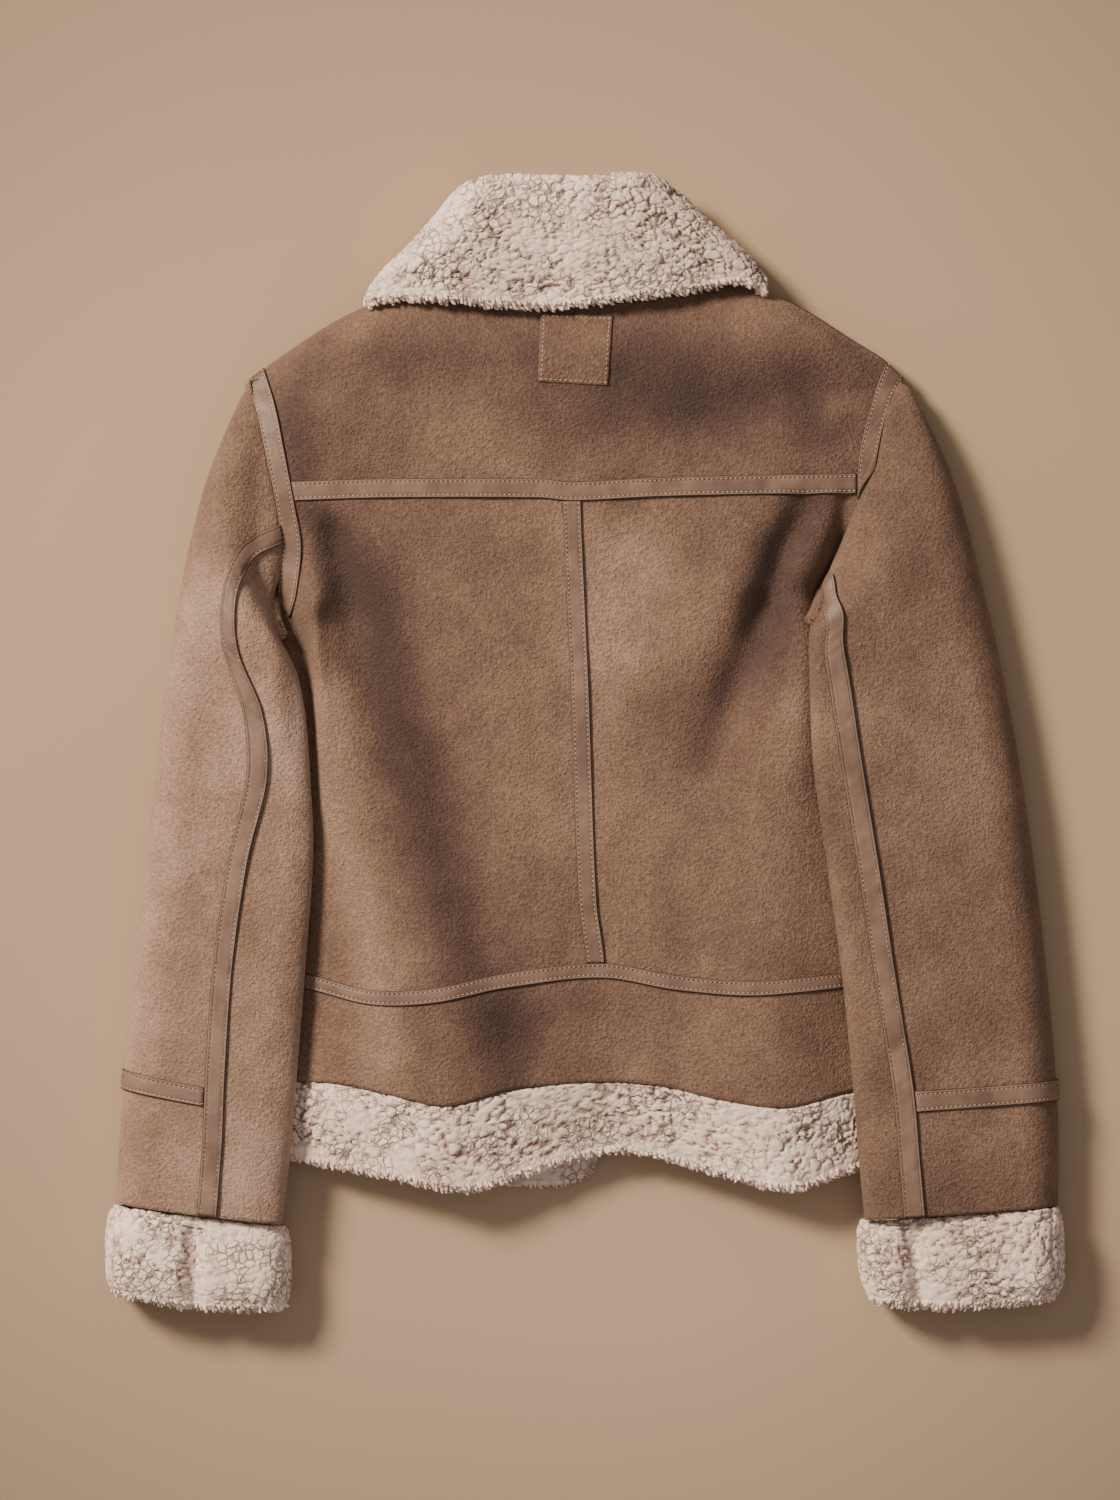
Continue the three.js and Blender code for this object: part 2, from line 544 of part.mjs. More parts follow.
// The collar folds over at its top edge: its fall lies on the yoke, its stand is hidden below,
// and two leaves close the ring in front, flat on the surface below the neck opening.
const collarLeft = table([[296, -151], [306, -150], [322, -139], [342, -119], [360, -103], [375, -91], [389, -74]]);
const collarRight = table([[296, 122], [306, 123], [318, 122], [335, 109], [354, 87], [368, 72], [380, 61], [389, 52]]);
const collarTop = table([[-80, 383], [-63, 387], [-3, 386], [39, 388.5], [52, 384], [64, 375]]);
const collarLow = table([[-150, 299], [-129, 303], [-91, 301], [-58, 298], [-24, 297], [14, 301],
  [43, 305], [71, 308], [96, 313], [110, 313], [123, 306]]);
const collarSeam = table([[-123, 345], [-53, 344], [-5, 341.5], [23.5, 346], [62, 350], [95, 351]]);
const STAND = 4;

function collarPlan(u, t, low, high) {
  let x = 100 * u;
  let y = 340;
  for (let turn = 0; turn < SETTLE; turn += 1) {
    y = lerp(low(x), high(x), t);
    const middle = (collarLeft(y) + collarRight(y)) / 2;
    const half = (collarRight(y) - collarLeft(y)) / 2;
    x = middle + half * Math.sin(clamp(u, -1, 1) * Math.PI / 2);
  }
  return [x, y];
}

function collarHeight(x, y) {
  const away = Math.min(x - collarLeft(y), collarRight(y) - x) * 0.75;
  const middle = lerp(26, 17, smooth(y, 316, 346));
  const flat = lerp(40, 45, smooth(y, 306, 340)) + 1.2 * Math.sin(x / 17) - 3 * smooth(Math.abs(x + 12), 60, 130);
  const z = lerp(middle, flat, climb(away, 20, 1));
  return lerp(Math.min(z, 30), z, climb(collarTop(x) + 1.5 - y, 9, 1)) + HALF;
}

const collarSurface = (low, high) => (u, t) => {
  const [x, y] = collarPlan(u, t, low, high);
  return [x, y, collarHeight(x, y)];
};
const shifted = (curve, by) => (x) => curve(x) + by;

piece('collar_fall', 'fleece', wall(collarSurface(collarLow, shifted(collarSeam, -HALF)), ACROSS,
  steps(0, 1, 5), FLEECE));
piece('collar_top', 'fleece', wall(collarSurface(shifted(collarSeam, HALF), collarTop), ACROSS,
  [0, 0.25, 0.5, 0.7, 0.84, 0.94, 1], FLEECE));

const standLow = (x) => topEdge(x) + 1;
const stand = (s, t) => {
  const x = lerp(-70, 48, s);
  const y = lerp(standLow(x), collarTop(x) - 12, t);
  return [x, y, lerp(27.5, 33.5, smooth(y, 306, 340))];
};
piece('collar_stand', 'suede', wall(stand, steps(0, 1, 8), steps(0, 1, 3), STAND));

for (const side of [-1, 1]) {
  const edge = side < 0 ? collarLeft : collarRight;
  const low = (x) => lerp(frontTop(x) + 5, topEdge(x) + 9, smooth(Math.abs(x + 12), 66, 84));
  const leaf = (s, t) => {
    let x = side * 50;
    let y = 340;
    for (let turn = 0; turn < SETTLE; turn += 1) {
      y = lerp(low(x), collarTop(x) - 2, t);
      const middle = -11 + side * ZIP_GAP;
      x = lerp(middle, edge(y), Math.sin(clamp(s * side, 0, 1) * Math.PI / 2));
    }
    const away = Math.abs(edge(y) - x) * 0.75;
    return [x, y, lerp(17, REST, climb(away, 13, 1)) * (1 - HALF / 17)];
  };
  const name = side < 0 ? 'left' : 'right';
  piece(`collar_leaf_${name}`, 'fleece', wall(leaf, side < 0 ? steps(0, -1, 10) : steps(1, 0, 10),
    steps(0, 1, 5), FLEECE));
}

// ---- the zip ----------------------------------------------------------------------------------------

// A closed zip down the middle of the fronts: tape behind, chain in the gap, slider at the top.
const TAPE = 0.8;
const CHAIN = { width: 5, thick: 2.2 };
const ZIP_TOP = 256;
const ZIP_BOTTOM = -270;
const SLIDER = { width: 9, length: 13, thick: 4.4 };
const tapeHeight = (y) => lerp(HEM, SUEDE, smooth(y, -224, -209)) + SEAM;

const zipRun = (width, top, height) => (s, t) => {
  const y = lerp(ZIP_BOTTOM, top, t);
  return [centreBack(y) + s * width / 2, y, height(y)];
};
piece('zip_tape', 'tape', wall(zipRun(28, ZIP_TOP, tapeHeight), [1, 0.4, -0.4, -1], steps(0, 1, 24), TAPE));
const chainHeight = (y) => tapeHeight(y) - SEAM - CHAIN.thick;
piece('zip_chain', 'metal', wall(zipRun(CHAIN.width, ZIP_TOP - SLIDER.length - 4, chainHeight),
  [1, -1], steps(0, 1, 24), CHAIN.thick));
const slider = piece('zip_slider', 'metal',
  new THREE.BoxGeometry(SLIDER.width, SLIDER.length, SLIDER.thick));
slider.position.set(centreBack(ZIP_TOP), ZIP_TOP - 3 - SLIDER.length / 2, SUEDE - SLIDER.thick / 2);

export default jacket;
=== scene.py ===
# %% [markdown]
# # A cropped faux shearling jacket, lying on its front
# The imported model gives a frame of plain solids, one for each piece that a maker would cut.
# This lesson lays the real surface on each of them: napped suede, curly fleece, leather
# strips with their stitches, and a zip. Lengths below are in millimetres, turned to metres
# only when a mesh is made, because a maker thinks in millimetres.

# %% The frame
import math
import bpy
import numpy as np
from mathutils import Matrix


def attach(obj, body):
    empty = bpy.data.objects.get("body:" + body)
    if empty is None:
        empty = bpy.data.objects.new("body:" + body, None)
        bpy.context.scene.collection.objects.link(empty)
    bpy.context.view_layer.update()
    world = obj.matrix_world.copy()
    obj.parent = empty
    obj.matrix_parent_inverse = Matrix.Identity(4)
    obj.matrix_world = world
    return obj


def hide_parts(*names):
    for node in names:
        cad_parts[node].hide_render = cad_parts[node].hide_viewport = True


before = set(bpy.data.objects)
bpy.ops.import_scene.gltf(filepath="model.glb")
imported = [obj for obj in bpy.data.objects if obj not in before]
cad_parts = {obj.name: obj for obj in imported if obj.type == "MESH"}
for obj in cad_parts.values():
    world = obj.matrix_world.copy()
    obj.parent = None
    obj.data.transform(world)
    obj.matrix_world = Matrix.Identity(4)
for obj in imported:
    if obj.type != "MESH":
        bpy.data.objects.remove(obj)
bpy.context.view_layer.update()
MM = 0.001
print("nodes in the frame:", len(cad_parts))

# %% [markdown]
# ## Small tools for curves
# The jacket's outline and seams are smooth curves through a few measured points. A cubic
# (Hermite) curve through such a table gives the same line as the solids have, so every
# piece made here lies exactly on its solid.

# %% Curves through short tables


def lerp(a, b, t):
    return a + (b - a) * t


def smooth(value, start, end):
    t = np.clip((value - start) / (end - start), 0.0, 1.0)
    return t * t * (3 - 2 * t)


def table(rows):
    """A smooth curve through [key, value] rows, read by key."""
    keys, values = (np.array(column, float) for column in zip(*rows))
    before = np.maximum(np.arange(len(keys)) - 1, 0)
    after = np.minimum(np.arange(len(keys)) + 1, len(keys) - 1)
    slope = (values[after] - values[before]) / (keys[after] - keys[before])

    def curve(key):
        k = np.clip(key, keys[0], keys[-1])
        i = np.clip(np.searchsorted(keys, k) - 1, 0, len(keys) - 2)
        span = keys[i + 1] - keys[i]
        t = (k - keys[i]) / span
        t2, t3 = t * t, t * t * t
        return ((2 * t3 - 3 * t2 + 1) * values[i] + (t3 - 2 * t2 + t) * span * slope[i]
                + (3 * t2 - 2 * t3) * values[i + 1] + (t3 - t2) * span * slope[i + 1])
    return curve


def fold(*route):
    """A soft ridge (height > 0) or trough along a route of (x, y, height, half width)."""
    def height(x, y):
        best = np.full(np.shape(x), np.inf)
        amount = np.zeros(np.shape(x))
        for (ax, ay, ah, aw), (bx, by, bh, bw) in zip(route, route[1:]):
            dx, dy = bx - ax, by - ay
            t = np.clip(((x - ax) * dx + (y - ay) * dy) / (dx * dx + dy * dy), 0, 1)
            ratio = np.hypot(x - ax - t * dx, y - ay - t * dy) / lerp(aw, bw, t)
            near = ratio < best
            best = np.where(near, ratio, best)
            amount = np.where(near, lerp(ah, bh, t) * np.exp(-ratio * ratio), amount)
        return amount
    return height


print("half way from 2 to 6:", lerp(2, 6, 0.5))

# %% [markdown]
# ## Repeatable randomness
# Cloth is never quite even. Two kinds of pattern serve the whole jacket: a soft noise for
# gentle unevenness, and a cell pattern for fleece, whose pile gathers in little clumps with
# cracks between them. Both read a scrambled lattice number, so they come out the same on
# every run.

# %% Soft noise


def scatter(ix, iy, iz, seed):
    """A repeatable number from 0 to 1 for each point of a lattice."""
    h = (ix * 73856093) ^ (iy * 19349663) ^ (iz * 83492791) ^ (seed * 40503 + 977)
    h = h & 0xFFFFFFFF
    h = ((h ^ (h >> 13)) * 1274126177) & 0xFFFFFFFF
    h = ((h ^ (h >> 15)) * 668265263) & 0xFFFFFFFF
    return ((h ^ (h >> 16)) & 0xFFFFFF) / 0x1000000


def soft_noise(p, size, seed):
    """Smooth noise from -1 to 1 whose waves are about `size` across; p is (..., 3)."""
    q = p / size
    cell = np.floor(q).astype(np.int64)
    f = q - cell
    f = f * f * (3 - 2 * f)
    total = np.zeros(p.shape[:-1])
    for dx in (0, 1):
        for dy in (0, 1):
            for dz in (0, 1):
                weight = (np.abs(1 - dx - f[..., 0]) * np.abs(1 - dy - f[..., 1])
                          * np.abs(1 - dz - f[..., 2]))
                total += weight * scatter(cell[..., 0] + dx, cell[..., 1] + dy,
                                          cell[..., 2] + dz, seed)
    return 2 * total - 1


print("a lattice number:", round(float(scatter(1, 2, 3, 4)), 3))

# %% Clumps of pile


def clump_gap(p, size, seed):
    """Distance from the crack between two clumps, 0 in the crack, about 0.6 in the middle."""
    q = p / size
    cell = np.floor(q).astype(np.int64)
    first = np.full(p.shape[:-1], 9.0)
    second = first.copy()
    for dx in (-1, 0, 1):
        for dy in (-1, 0, 1):
            for dz in (-1, 0, 1):
                c = cell + np.array([dx, dy, dz])
                away = np.zeros(first.shape)
                for axis in range(3):
                    spot = c[..., axis] + scatter(c[..., 0], c[..., 1], c[..., 2], seed + axis)
                    away += (spot - q[..., axis]) ** 2
                away = np.sqrt(away)
                second = np.minimum(second, np.maximum(first, away))
                first = np.minimum(first, away)
    return second - first


print("gap at one point:", clump_gap(np.zeros((1, 3)), 7.0, 1).round(2))

# %% [markdown]
# ## From a surface to a piece of cloth
# Each piece is a sheet of points, surface(s, t), with a second sheet moved inwards by the
# cloth's thickness and the rim closed between them. That is what a Solidify modifier does,
# but doing it by hand keeps control of the rim: pile rounds over at a free edge, and a
# folded leather edge stands up in a bead. Relief is added along the surface's own normal.

# %% Directions and lengths on a sheet
CUTS = {}  # each piece's cut: width, length and area along the cloth


def steps(start, end, count):
    return np.linspace(start, end, count + 1)


def fine(start, end, reach, step):
    """Values from start to end, about `step` mm apart over a reach of `reach` mm."""
    return steps(start, end, max(int(round(reach / step)), 2))


def outward(p, loop):
    """The unit normal at each point of a grid of points."""
    if loop:
        run = np.roll(p, -1, axis=1) - np.roll(p, 1, axis=1)
    else:
        run = np.gradient(p, axis=1)
    normal = np.cross(run, np.gradient(p, axis=0))
    return normal / np.maximum(np.linalg.norm(normal, axis=-1, keepdims=True), 1e-9)


def cloth_lengths(p):
    """How far each point is along the cloth, across and down, and the cloth's area."""
    side_step = np.linalg.norm(np.diff(p, axis=1), axis=-1)
    down_step = np.linalg.norm(np.diff(p, axis=0), axis=-1)
    rows, columns = p.shape[:2]
    width = np.concatenate([np.zeros((rows, 1)), np.cumsum(side_step, axis=1)], 1)
    length = np.concatenate([np.zeros((1, columns)), np.cumsum(down_step, axis=0)], 0)
    return width, length, (side_step[:-1] * down_step[:, :-1]).sum()


print("points over 10 mm, about 3 mm apart:", len(fine(0, 1, 10, 3)))

# %% Faces of a closed piece


def closed_faces(wide, high, loop):
    """Quads of the outer grid, of the same grid inside, and of the rims between them."""
    index = np.arange(wide * high).reshape(high, wide)
    if loop:
        index = np.concatenate([index, index[:, :1]], 1)
    inner = wide * high
    a, b, c, d = index[:-1, :-1], index[:-1, 1:], index[1:, 1:], index[1:, :-1]
    faces = [np.stack([a, b, c, d], -1).reshape(-1, 4),
             np.stack([d, c, b, a], -1).reshape(-1, 4) + inner]
    rims = [(index[0], True), (index[-1], False)]
    if not loop:
        rims = [(index[:, 0], False), (index[:, -1], True)] + rims
    for edge, flip in rims:
        quad = np.stack([edge[:-1], edge[1:], edge[1:] + inner, edge[:-1] + inner], -1)
        faces.append(quad[:, ::-1] if flip else quad)
    return np.concatenate(faces)


def cloth_mesh(name, points, faces, flat, marks):
    """A smooth mesh in metres, with its cut as a UV map and its marks as attributes."""
    mesh = bpy.data.meshes.new(name)
    mesh.vertices.add(len(points))
    mesh.vertices.foreach_set("co", (points * MM).ravel())
    mesh.loops.add(faces.size)
    mesh.loops.foreach_set("vertex_index", faces.ravel())
    mesh.polygons.add(len(faces))
    mesh.polygons.foreach_set("loop_start", np.arange(0, faces.size, 4))
    mesh.polygons.foreach_set("loop_total", np.full(len(faces), 4))
    mesh.polygons.foreach_set("use_smooth", np.ones(len(faces), bool))
    layer = mesh.uv_layers.new(name="cloth")
    layer.data.foreach_set("uv", flat[faces.ravel()].ravel())
    for key, values in marks.items():
        attribute = mesh.attributes.new(key, "FLOAT", "POINT")
        attribute.data.foreach_set("value", np.concatenate([values.ravel(), values.ravel()]))
    mesh.update()
    mesh.validate()
    return mesh


print("a strip of 2 by 3 points has", len(closed_faces(2, 3, False)), "faces")

# %% Closed pieces of cloth


def shell(name, surface, across, along, deep, out=0.0, loop=False, relief=None):
    """Make a piece from surface(s, t), `deep` thick inwards and `out` proud outwards.

    relief(points, normal, width, length) gives a height in mm and attributes by name."""
    s, t = np.meshgrid(across, along)
    p = np.stack(np.broadcast_arrays(*surface(s, t)), -1).astype(float)
    normal = outward(p, loop)
    width, length, area = cloth_lengths(p)
    CUTS[name] = (width.max(), length.max(), area)
    height, marks = relief(p, normal, width, length) if relief else (np.zeros(s.shape), {})
    points = np.concatenate([(p + normal * (out + height)[..., None]).reshape(-1, 3),
                             (p - normal * deep).reshape(-1, 3)])
    points[:, 2] = np.maximum(points[:, 2], 0.0)
    flat = np.tile(np.stack([width, length], -1).reshape(-1, 2), (2, 1)) * MM
    mesh = cloth_mesh(name, points, closed_faces(len(across), len(along), loop), flat, marks)
    piece = bpy.data.objects.new(name, mesh)
    bpy.context.scene.collection.objects.link(piece)
    print(f"{name}: cut {width.max():.0f} x {length.max():.0f} mm, {len(mesh.polygons)} faces")
    return piece


# %% [markdown]
# ## The body's outline and the height of its back
# These tables are the garment's seams as it lies: hem, hem seam, waist seam, yoke seam and
# shoulder line, the centre back and the two side folds. The back stands about 33 mm above
# the surface, rounds over at the side folds, and has a few broad folds where the cloth is
# pushed together under the arms and at the hem.

# %% Seams
# How thick the suede, the fleece, the hem band and the leather are, and a strip's lift.
SUEDE, FLEECE, HEM, TRIM, LIFT = 5.5, 8.0, 7.0, 1.1, 0.5
# The gap left at a seam, and half of it, which is each panel's share.
SEAM, HALF = 0.3, 0.15
# How high the side fold, the back, the sleeve's outer fold and its crown stand.
BODY_SIDE, BODY_TOP, SLEEVE_SIDE, SLEEVE_TOP = 11, 33, 14, 45
STRIP = 13  # the width of a leather strip

hem_edge = table([[-235, -276], [-199, -282], [-135, -293], [-82, -302], [-43, -292], [-13, -282],
                  [29, -276], [78, -288], [138, -301], [177, -290], [215, -280]])
hem_seam = table([[-225, -229], [-169, -230], [-130, -238], [-94, -245], [-47, -234], [13, -229],
                  [52, -232], [91, -241], [135, -246], [176, -237], [210, -230]])
waist_line = table([[-222, -156], [-188, -161], [-146, -171], [-104, -170], [-55, -160],
                    [10, -153], [60, -161], [109, -165], [143, -163], [190, -158], [205, -156]])
yoke_line = table([[-207, 172], [-140, 174], [-31, 174], [-10, 172], [52, 175], [195, 178]])
top_edge = table([[-229, 249], [-205, 267], [-167, 291], [-126, 309], [-92, 322], [-45, 309],
                  [-14, 306], [25, 309], [68, 322], [110, 314], [146, 299], [185, 274],
                  [204, 262], [216, 250]])
centre_back = table([[-305, 15], [-149, 6.5], [-105, 1], [31, -4], [174, -10], [310, -12]])
left_edge = table([[-310, -232], [-228, -226], [-105, -220], [0, -221], [60, -218], [90, -211],
                   [111, -208.5], [131, -206], [145, -207], [170, -211], [198, -217],
                   [224, -222.5], [249, -229], [272, -236]])
right_edge = table([[-310, 218], [-231, 212], [-105, 204], [0, 197], [62, 188], [84, 171],
                    [100, 157], [110, 160], [122, 169], [143, 178], [166, 187], [186, 194.5],
                    [201, 197.5], [221, 202], [236, 207], [250, 215], [272, 224]])
UNDERARM = {-1: 93, 1: 101}  # y of the underarm, on the left (-1) and the right (1)
ROWS = [hem_edge, hem_seam, waist_line, yoke_line, top_edge]
NECK = -12  # x of the middle of the neck


def at_side(y, side):
    return np.where(np.asarray(side) < 0, left_edge(y), right_edge(y))


print("width at the waist:", right_edge(-160) - left_edge(-160), "mm")

# %% [markdown]
# ## Broad folds, and the height of the back
# Where cloth is pushed together it rises in a soft ridge with a trough beside it. Each is
# placed along a route of (x, y, height, half width), and fades at its ends. The
# height of the back is then a low dome with those folds on it, rounding over at the sides.

# %% Folds of the back
back_folds = [
    fold((150, 158, -4, 13), (135, 136, -8, 14), (120, 95, -7, 14), (101, 34, -3, 16),
         (88, -20, 0, 18)),
    fold((140, 90, 2, 14), (138, 20, 3, 18), (130, -60, 0, 20)),
    fold((-172, 142, -6, 11), (-163, 102, -7, 13), (-150, 60, -4, 16), (-138, -37, 0, 18)),
    fold((-186, 104, 6, 11), (-180, 60, 7, 13), (-172, 0, 4, 18), (-160, -70, 0, 20)),
    fold((-104, -300, 9, 34), (-104, -235, 7, 38), (-108, -150, 5, 42), (-100, -40, 0, 46)),
    fold((134, -302, 9, 34), (132, -240, 8, 38), (118, -150, 5, 42), (100, -40, 0, 46)),
    fold((14, -290, -9, 30), (12, -230, -6, 34), (10, -150, -3, 36), (0, -60, 0, 40)),
    fold((-196, -290, -6, 22), (-194, -220, -4, 24), (-188, -140, 0, 26)),
    fold((196, -290, -5, 20), (190, -220, -3, 22), (182, -140, 0, 24)),
    fold((-120, 292, 3, 30), (-60, 250, 2, 40), (0, 215, 0, 50)),
]


def climb(away, reach, roundness):
    """Share of the rise from a side fold (0) to the flat (1)."""
    t = np.clip(away / reach, 0, 1)
    return lerp(np.sin(t * np.pi / 2), np.sqrt(np.maximum(1 - (1 - t) ** 2, 0)), roundness)


print("folds of the back:", len(back_folds))

# %% Height of the back


def side_height(y, underarm):
    """Height of the side fold: low at the side, higher where the armhole opens it."""
    up = np.clip((y - underarm) / (262 - underarm), 0, 1)
    return BODY_SIDE + 21 * np.maximum(np.sin(up ** 1.1 * np.pi), 0) ** 0.8


def back_dome(x, y):
    """Height of the back away from its edges, with its broad folds."""
    z = BODY_TOP + 3 * np.cos(x / 150) - 5 * smooth(-y, 190, 300)
    for bend in back_folds:
        z = z + bend(x, y)
    return z - 9 * smooth(y, 262, 300) * (1 - smooth(np.abs(x - NECK), 90, 150))


def lift(x, y, to_side, to_armhole, to_shoulder):
    """Shares of the rise from each edge; the three reaches are in mm."""
    side = np.where(x < centre_back(y), -1, 1)
    underarm = np.where(side < 0, UNDERARM[-1], UNDERARM[1])
    away = (at_side(y, side) - x) * side
    opened = smooth(y, underarm - 14, underarm + 10) * (1 - smooth(y, 222, 244))
    shoulder = climb(top_edge(x) - y, to_shoulder, 1)
    neck = 1 - smooth(np.abs(x - NECK), 62, 92)
    pressed = (12 - 7 * smooth(-y, 200, 235)) * np.exp(-((away / 48) ** 2)) * (1 - opened)
    return (climb(away, lerp(to_side, to_armhole, opened), 1 - opened), side_height(y, underarm),
            pressed, opened, np.maximum(shoulder, neck))


def back_height(x, y):
    side, edge, pressed, _, top = lift(x, y, 15, 38, 30)
    z = lerp(edge, back_dome(x, y) - pressed, side)
    return np.maximum(lerp(np.minimum(z, BODY_SIDE), z, top), BODY_SIDE) + HALF


print("height at the middle of the back:", back_height(np.array(0.0), np.array(0.0)).round(1))

# %% [markdown]
# ## Finer creases
# These are narrower than the plain solid has: the pocket under each arm and the lee of each
# broad fold. They only shape the cloth that shows, so the fronts below go without them.

# %% Finer creases
creases = [
    fold((-210, 97, -9, 6), (-204, 84, -13, 7), (-194, 64, -15, 6.5), (-189, 34, -12, 5.5),
         (-187, 0, -7, 5), (-186, -70, -3, 5)),
    fold((-184, 97, 3, 5), (-184, 60, 5.5, 6), (-183, 20, 4.5, 8), (-178, -40, 2, 12)),
    fold((-173, 150, -2, 11), (-158, 95, -4, 13), (-142, 40, -4, 15), (-132, 0, -2, 16)),
    fold((148, 165, -3, 9), (134, 130, -5, 10), (119, 87, -7, 11), (102, 40, -5, 12),
         (92, 0, -2, 14)),
    fold((176, 165, -5, 7), (173, 140, -8, 7), (164, 108, -6, 7), (158, 90, -5, 7)),
    fold((150, 100, 3, 9), (148, 60, 4, 9), (146, 10, 3, 11), (146, -50, 1, 14)),
    fold((-160, 30, 2, 20), (-158, -60, 3, 20), (-146, -130, 3, 20), (-138, -220, 2, 22)),
    fold((-112, 60, -2.5, 18), (-92, -20, -3, 20), (-76, -100, -3.5, 20), (-48, -190, -3.5, 20),
         (-38, -270, -3, 18)),
    fold((96, 70, -2.5, 14), (84, 20, -2, 16), (74, -20, 0, 18)),
    fold((40, 250, -2, 22), (90, 236, -3, 20), (150, 246, -2, 18)),
    fold((-188, -250, 3, 14), (-170, -262, 2, 16)),
    fold((70, -286, -3, 16), (66, -240, -2, 18)),
]


def cloth_height(x, y):
    z = back_height(x, y)
    for bend in creases:
        z = z + bend(x, y)
    return np.maximum(z, BODY_SIDE + HALF)


def front_height(x, y):
    side, _, _, opened, top = lift(x, y, 12, 12, 12)
    z = lerp(lerp(BODY_SIDE, 1, opened), 0, side)
    return lerp(BODY_SIDE, z, top) * (1 - (HALF + 0.8 * smooth(y, 220, 240)) / BODY_SIDE)


print("finer creases:", len(creases))

# %% [markdown]
# ## The plan of the body
# A panel's top and bottom are seams and its sides are folds, all of them curved, so a point
# of it is found by settling: guess x, read the seams there, read the folds at that height,
# and go round again. The sine packs more points near the fold, where the cloth turns down.

# %% Plan of the body
SETTLE, FIRST_GUESS = 14, 200
LAST = 0.99999  # stays inside a row, so the next row's seam isn't read


def body_plan(u, v, half=0):
    """A point of the body in plan: u from -1 to 1 across, v counts ROWS from the hem.

    half is -1 or 1 for a panel that ends at the centre back, and 0 for one that doesn't."""
    k = np.clip(np.floor(v), 0, len(ROWS) - 2).astype(int)
    t = v - k
    x, y = FIRST_GUESS * u, np.zeros(np.shape(u))
    side = np.sign(u) if half == 0 else half
    for _ in range(SETTLE):
        low = np.choose(k, [row(x) for row in ROWS[:-1]]) + np.where(k > 0, HALF, 0)
        high = np.choose(k, [row(x) for row in ROWS[1:]]) - np.where(k < 3, HALF, 0)
        y = lerp(low, high, t)
        middle = centre_back(y) + half * HALF
        x = middle + (at_side(y, side) - middle) * np.sin(np.minimum(u * side, 1) * np.pi / 2)
    return x, y


def back_surface(row, half=0):
    def surface(u, t):
        x, y = body_plan(u, np.clip(row + t, row, row + LAST), half)
        return x, y, cloth_height(x, y)
    return surface


corner = [float(np.round(value, 1)) for value in back_surface(0)(np.array(-1.0), np.array(0.0))]
print("left corner of the hem:", corner)

# %% Plan of the fronts
ZIP_GAP = 6
front_neck = table([[-92, 320], [-60, 285], [-12, 262], [36, 285], [68, 320]])
front_hem = table([[-235, -274], [-199, -280], [-135, -291], [-82, -299], [-40, -300], [-12, -299],
                   [0, -293], [8, -284], [29, -274], [78, -285], [138, -297], [177, -287],
                   [215, -278]])


def front_top(x):
    """The front's upper edge: the shoulder seam, dropping to the neck in the middle."""
    opened = 1 - smooth(np.abs(x - NECK), 60, 82)
    shoulder = top_edge(x) - 1 - 4 * smooth(np.abs(x + 8), 185, 210)
    return lerp(shoulder, np.minimum(front_neck(x), shoulder), opened)


def front_surface(low_curve, high_curve, side):
    def surface(u, t):
        x, y = FIRST_GUESS * u, np.zeros(np.shape(u))
        for _ in range(SETTLE):
            y = lerp(low_curve(x), high_curve(x), np.clip(t, 0, 1))
            middle = centre_back(y) + side * ZIP_GAP
            x = middle + (at_side(y, side) - middle) * np.sin(np.minimum(u * side, 1) * np.pi / 2)
        return x, y, front_height(x, y)
    return surface


def shifted(curve, by):
    """The same curve, moved up by a few millimetres."""
    return lambda x: curve(x) + by


print("the fronts meet", 2 * ZIP_GAP, "mm apart, over the zip")
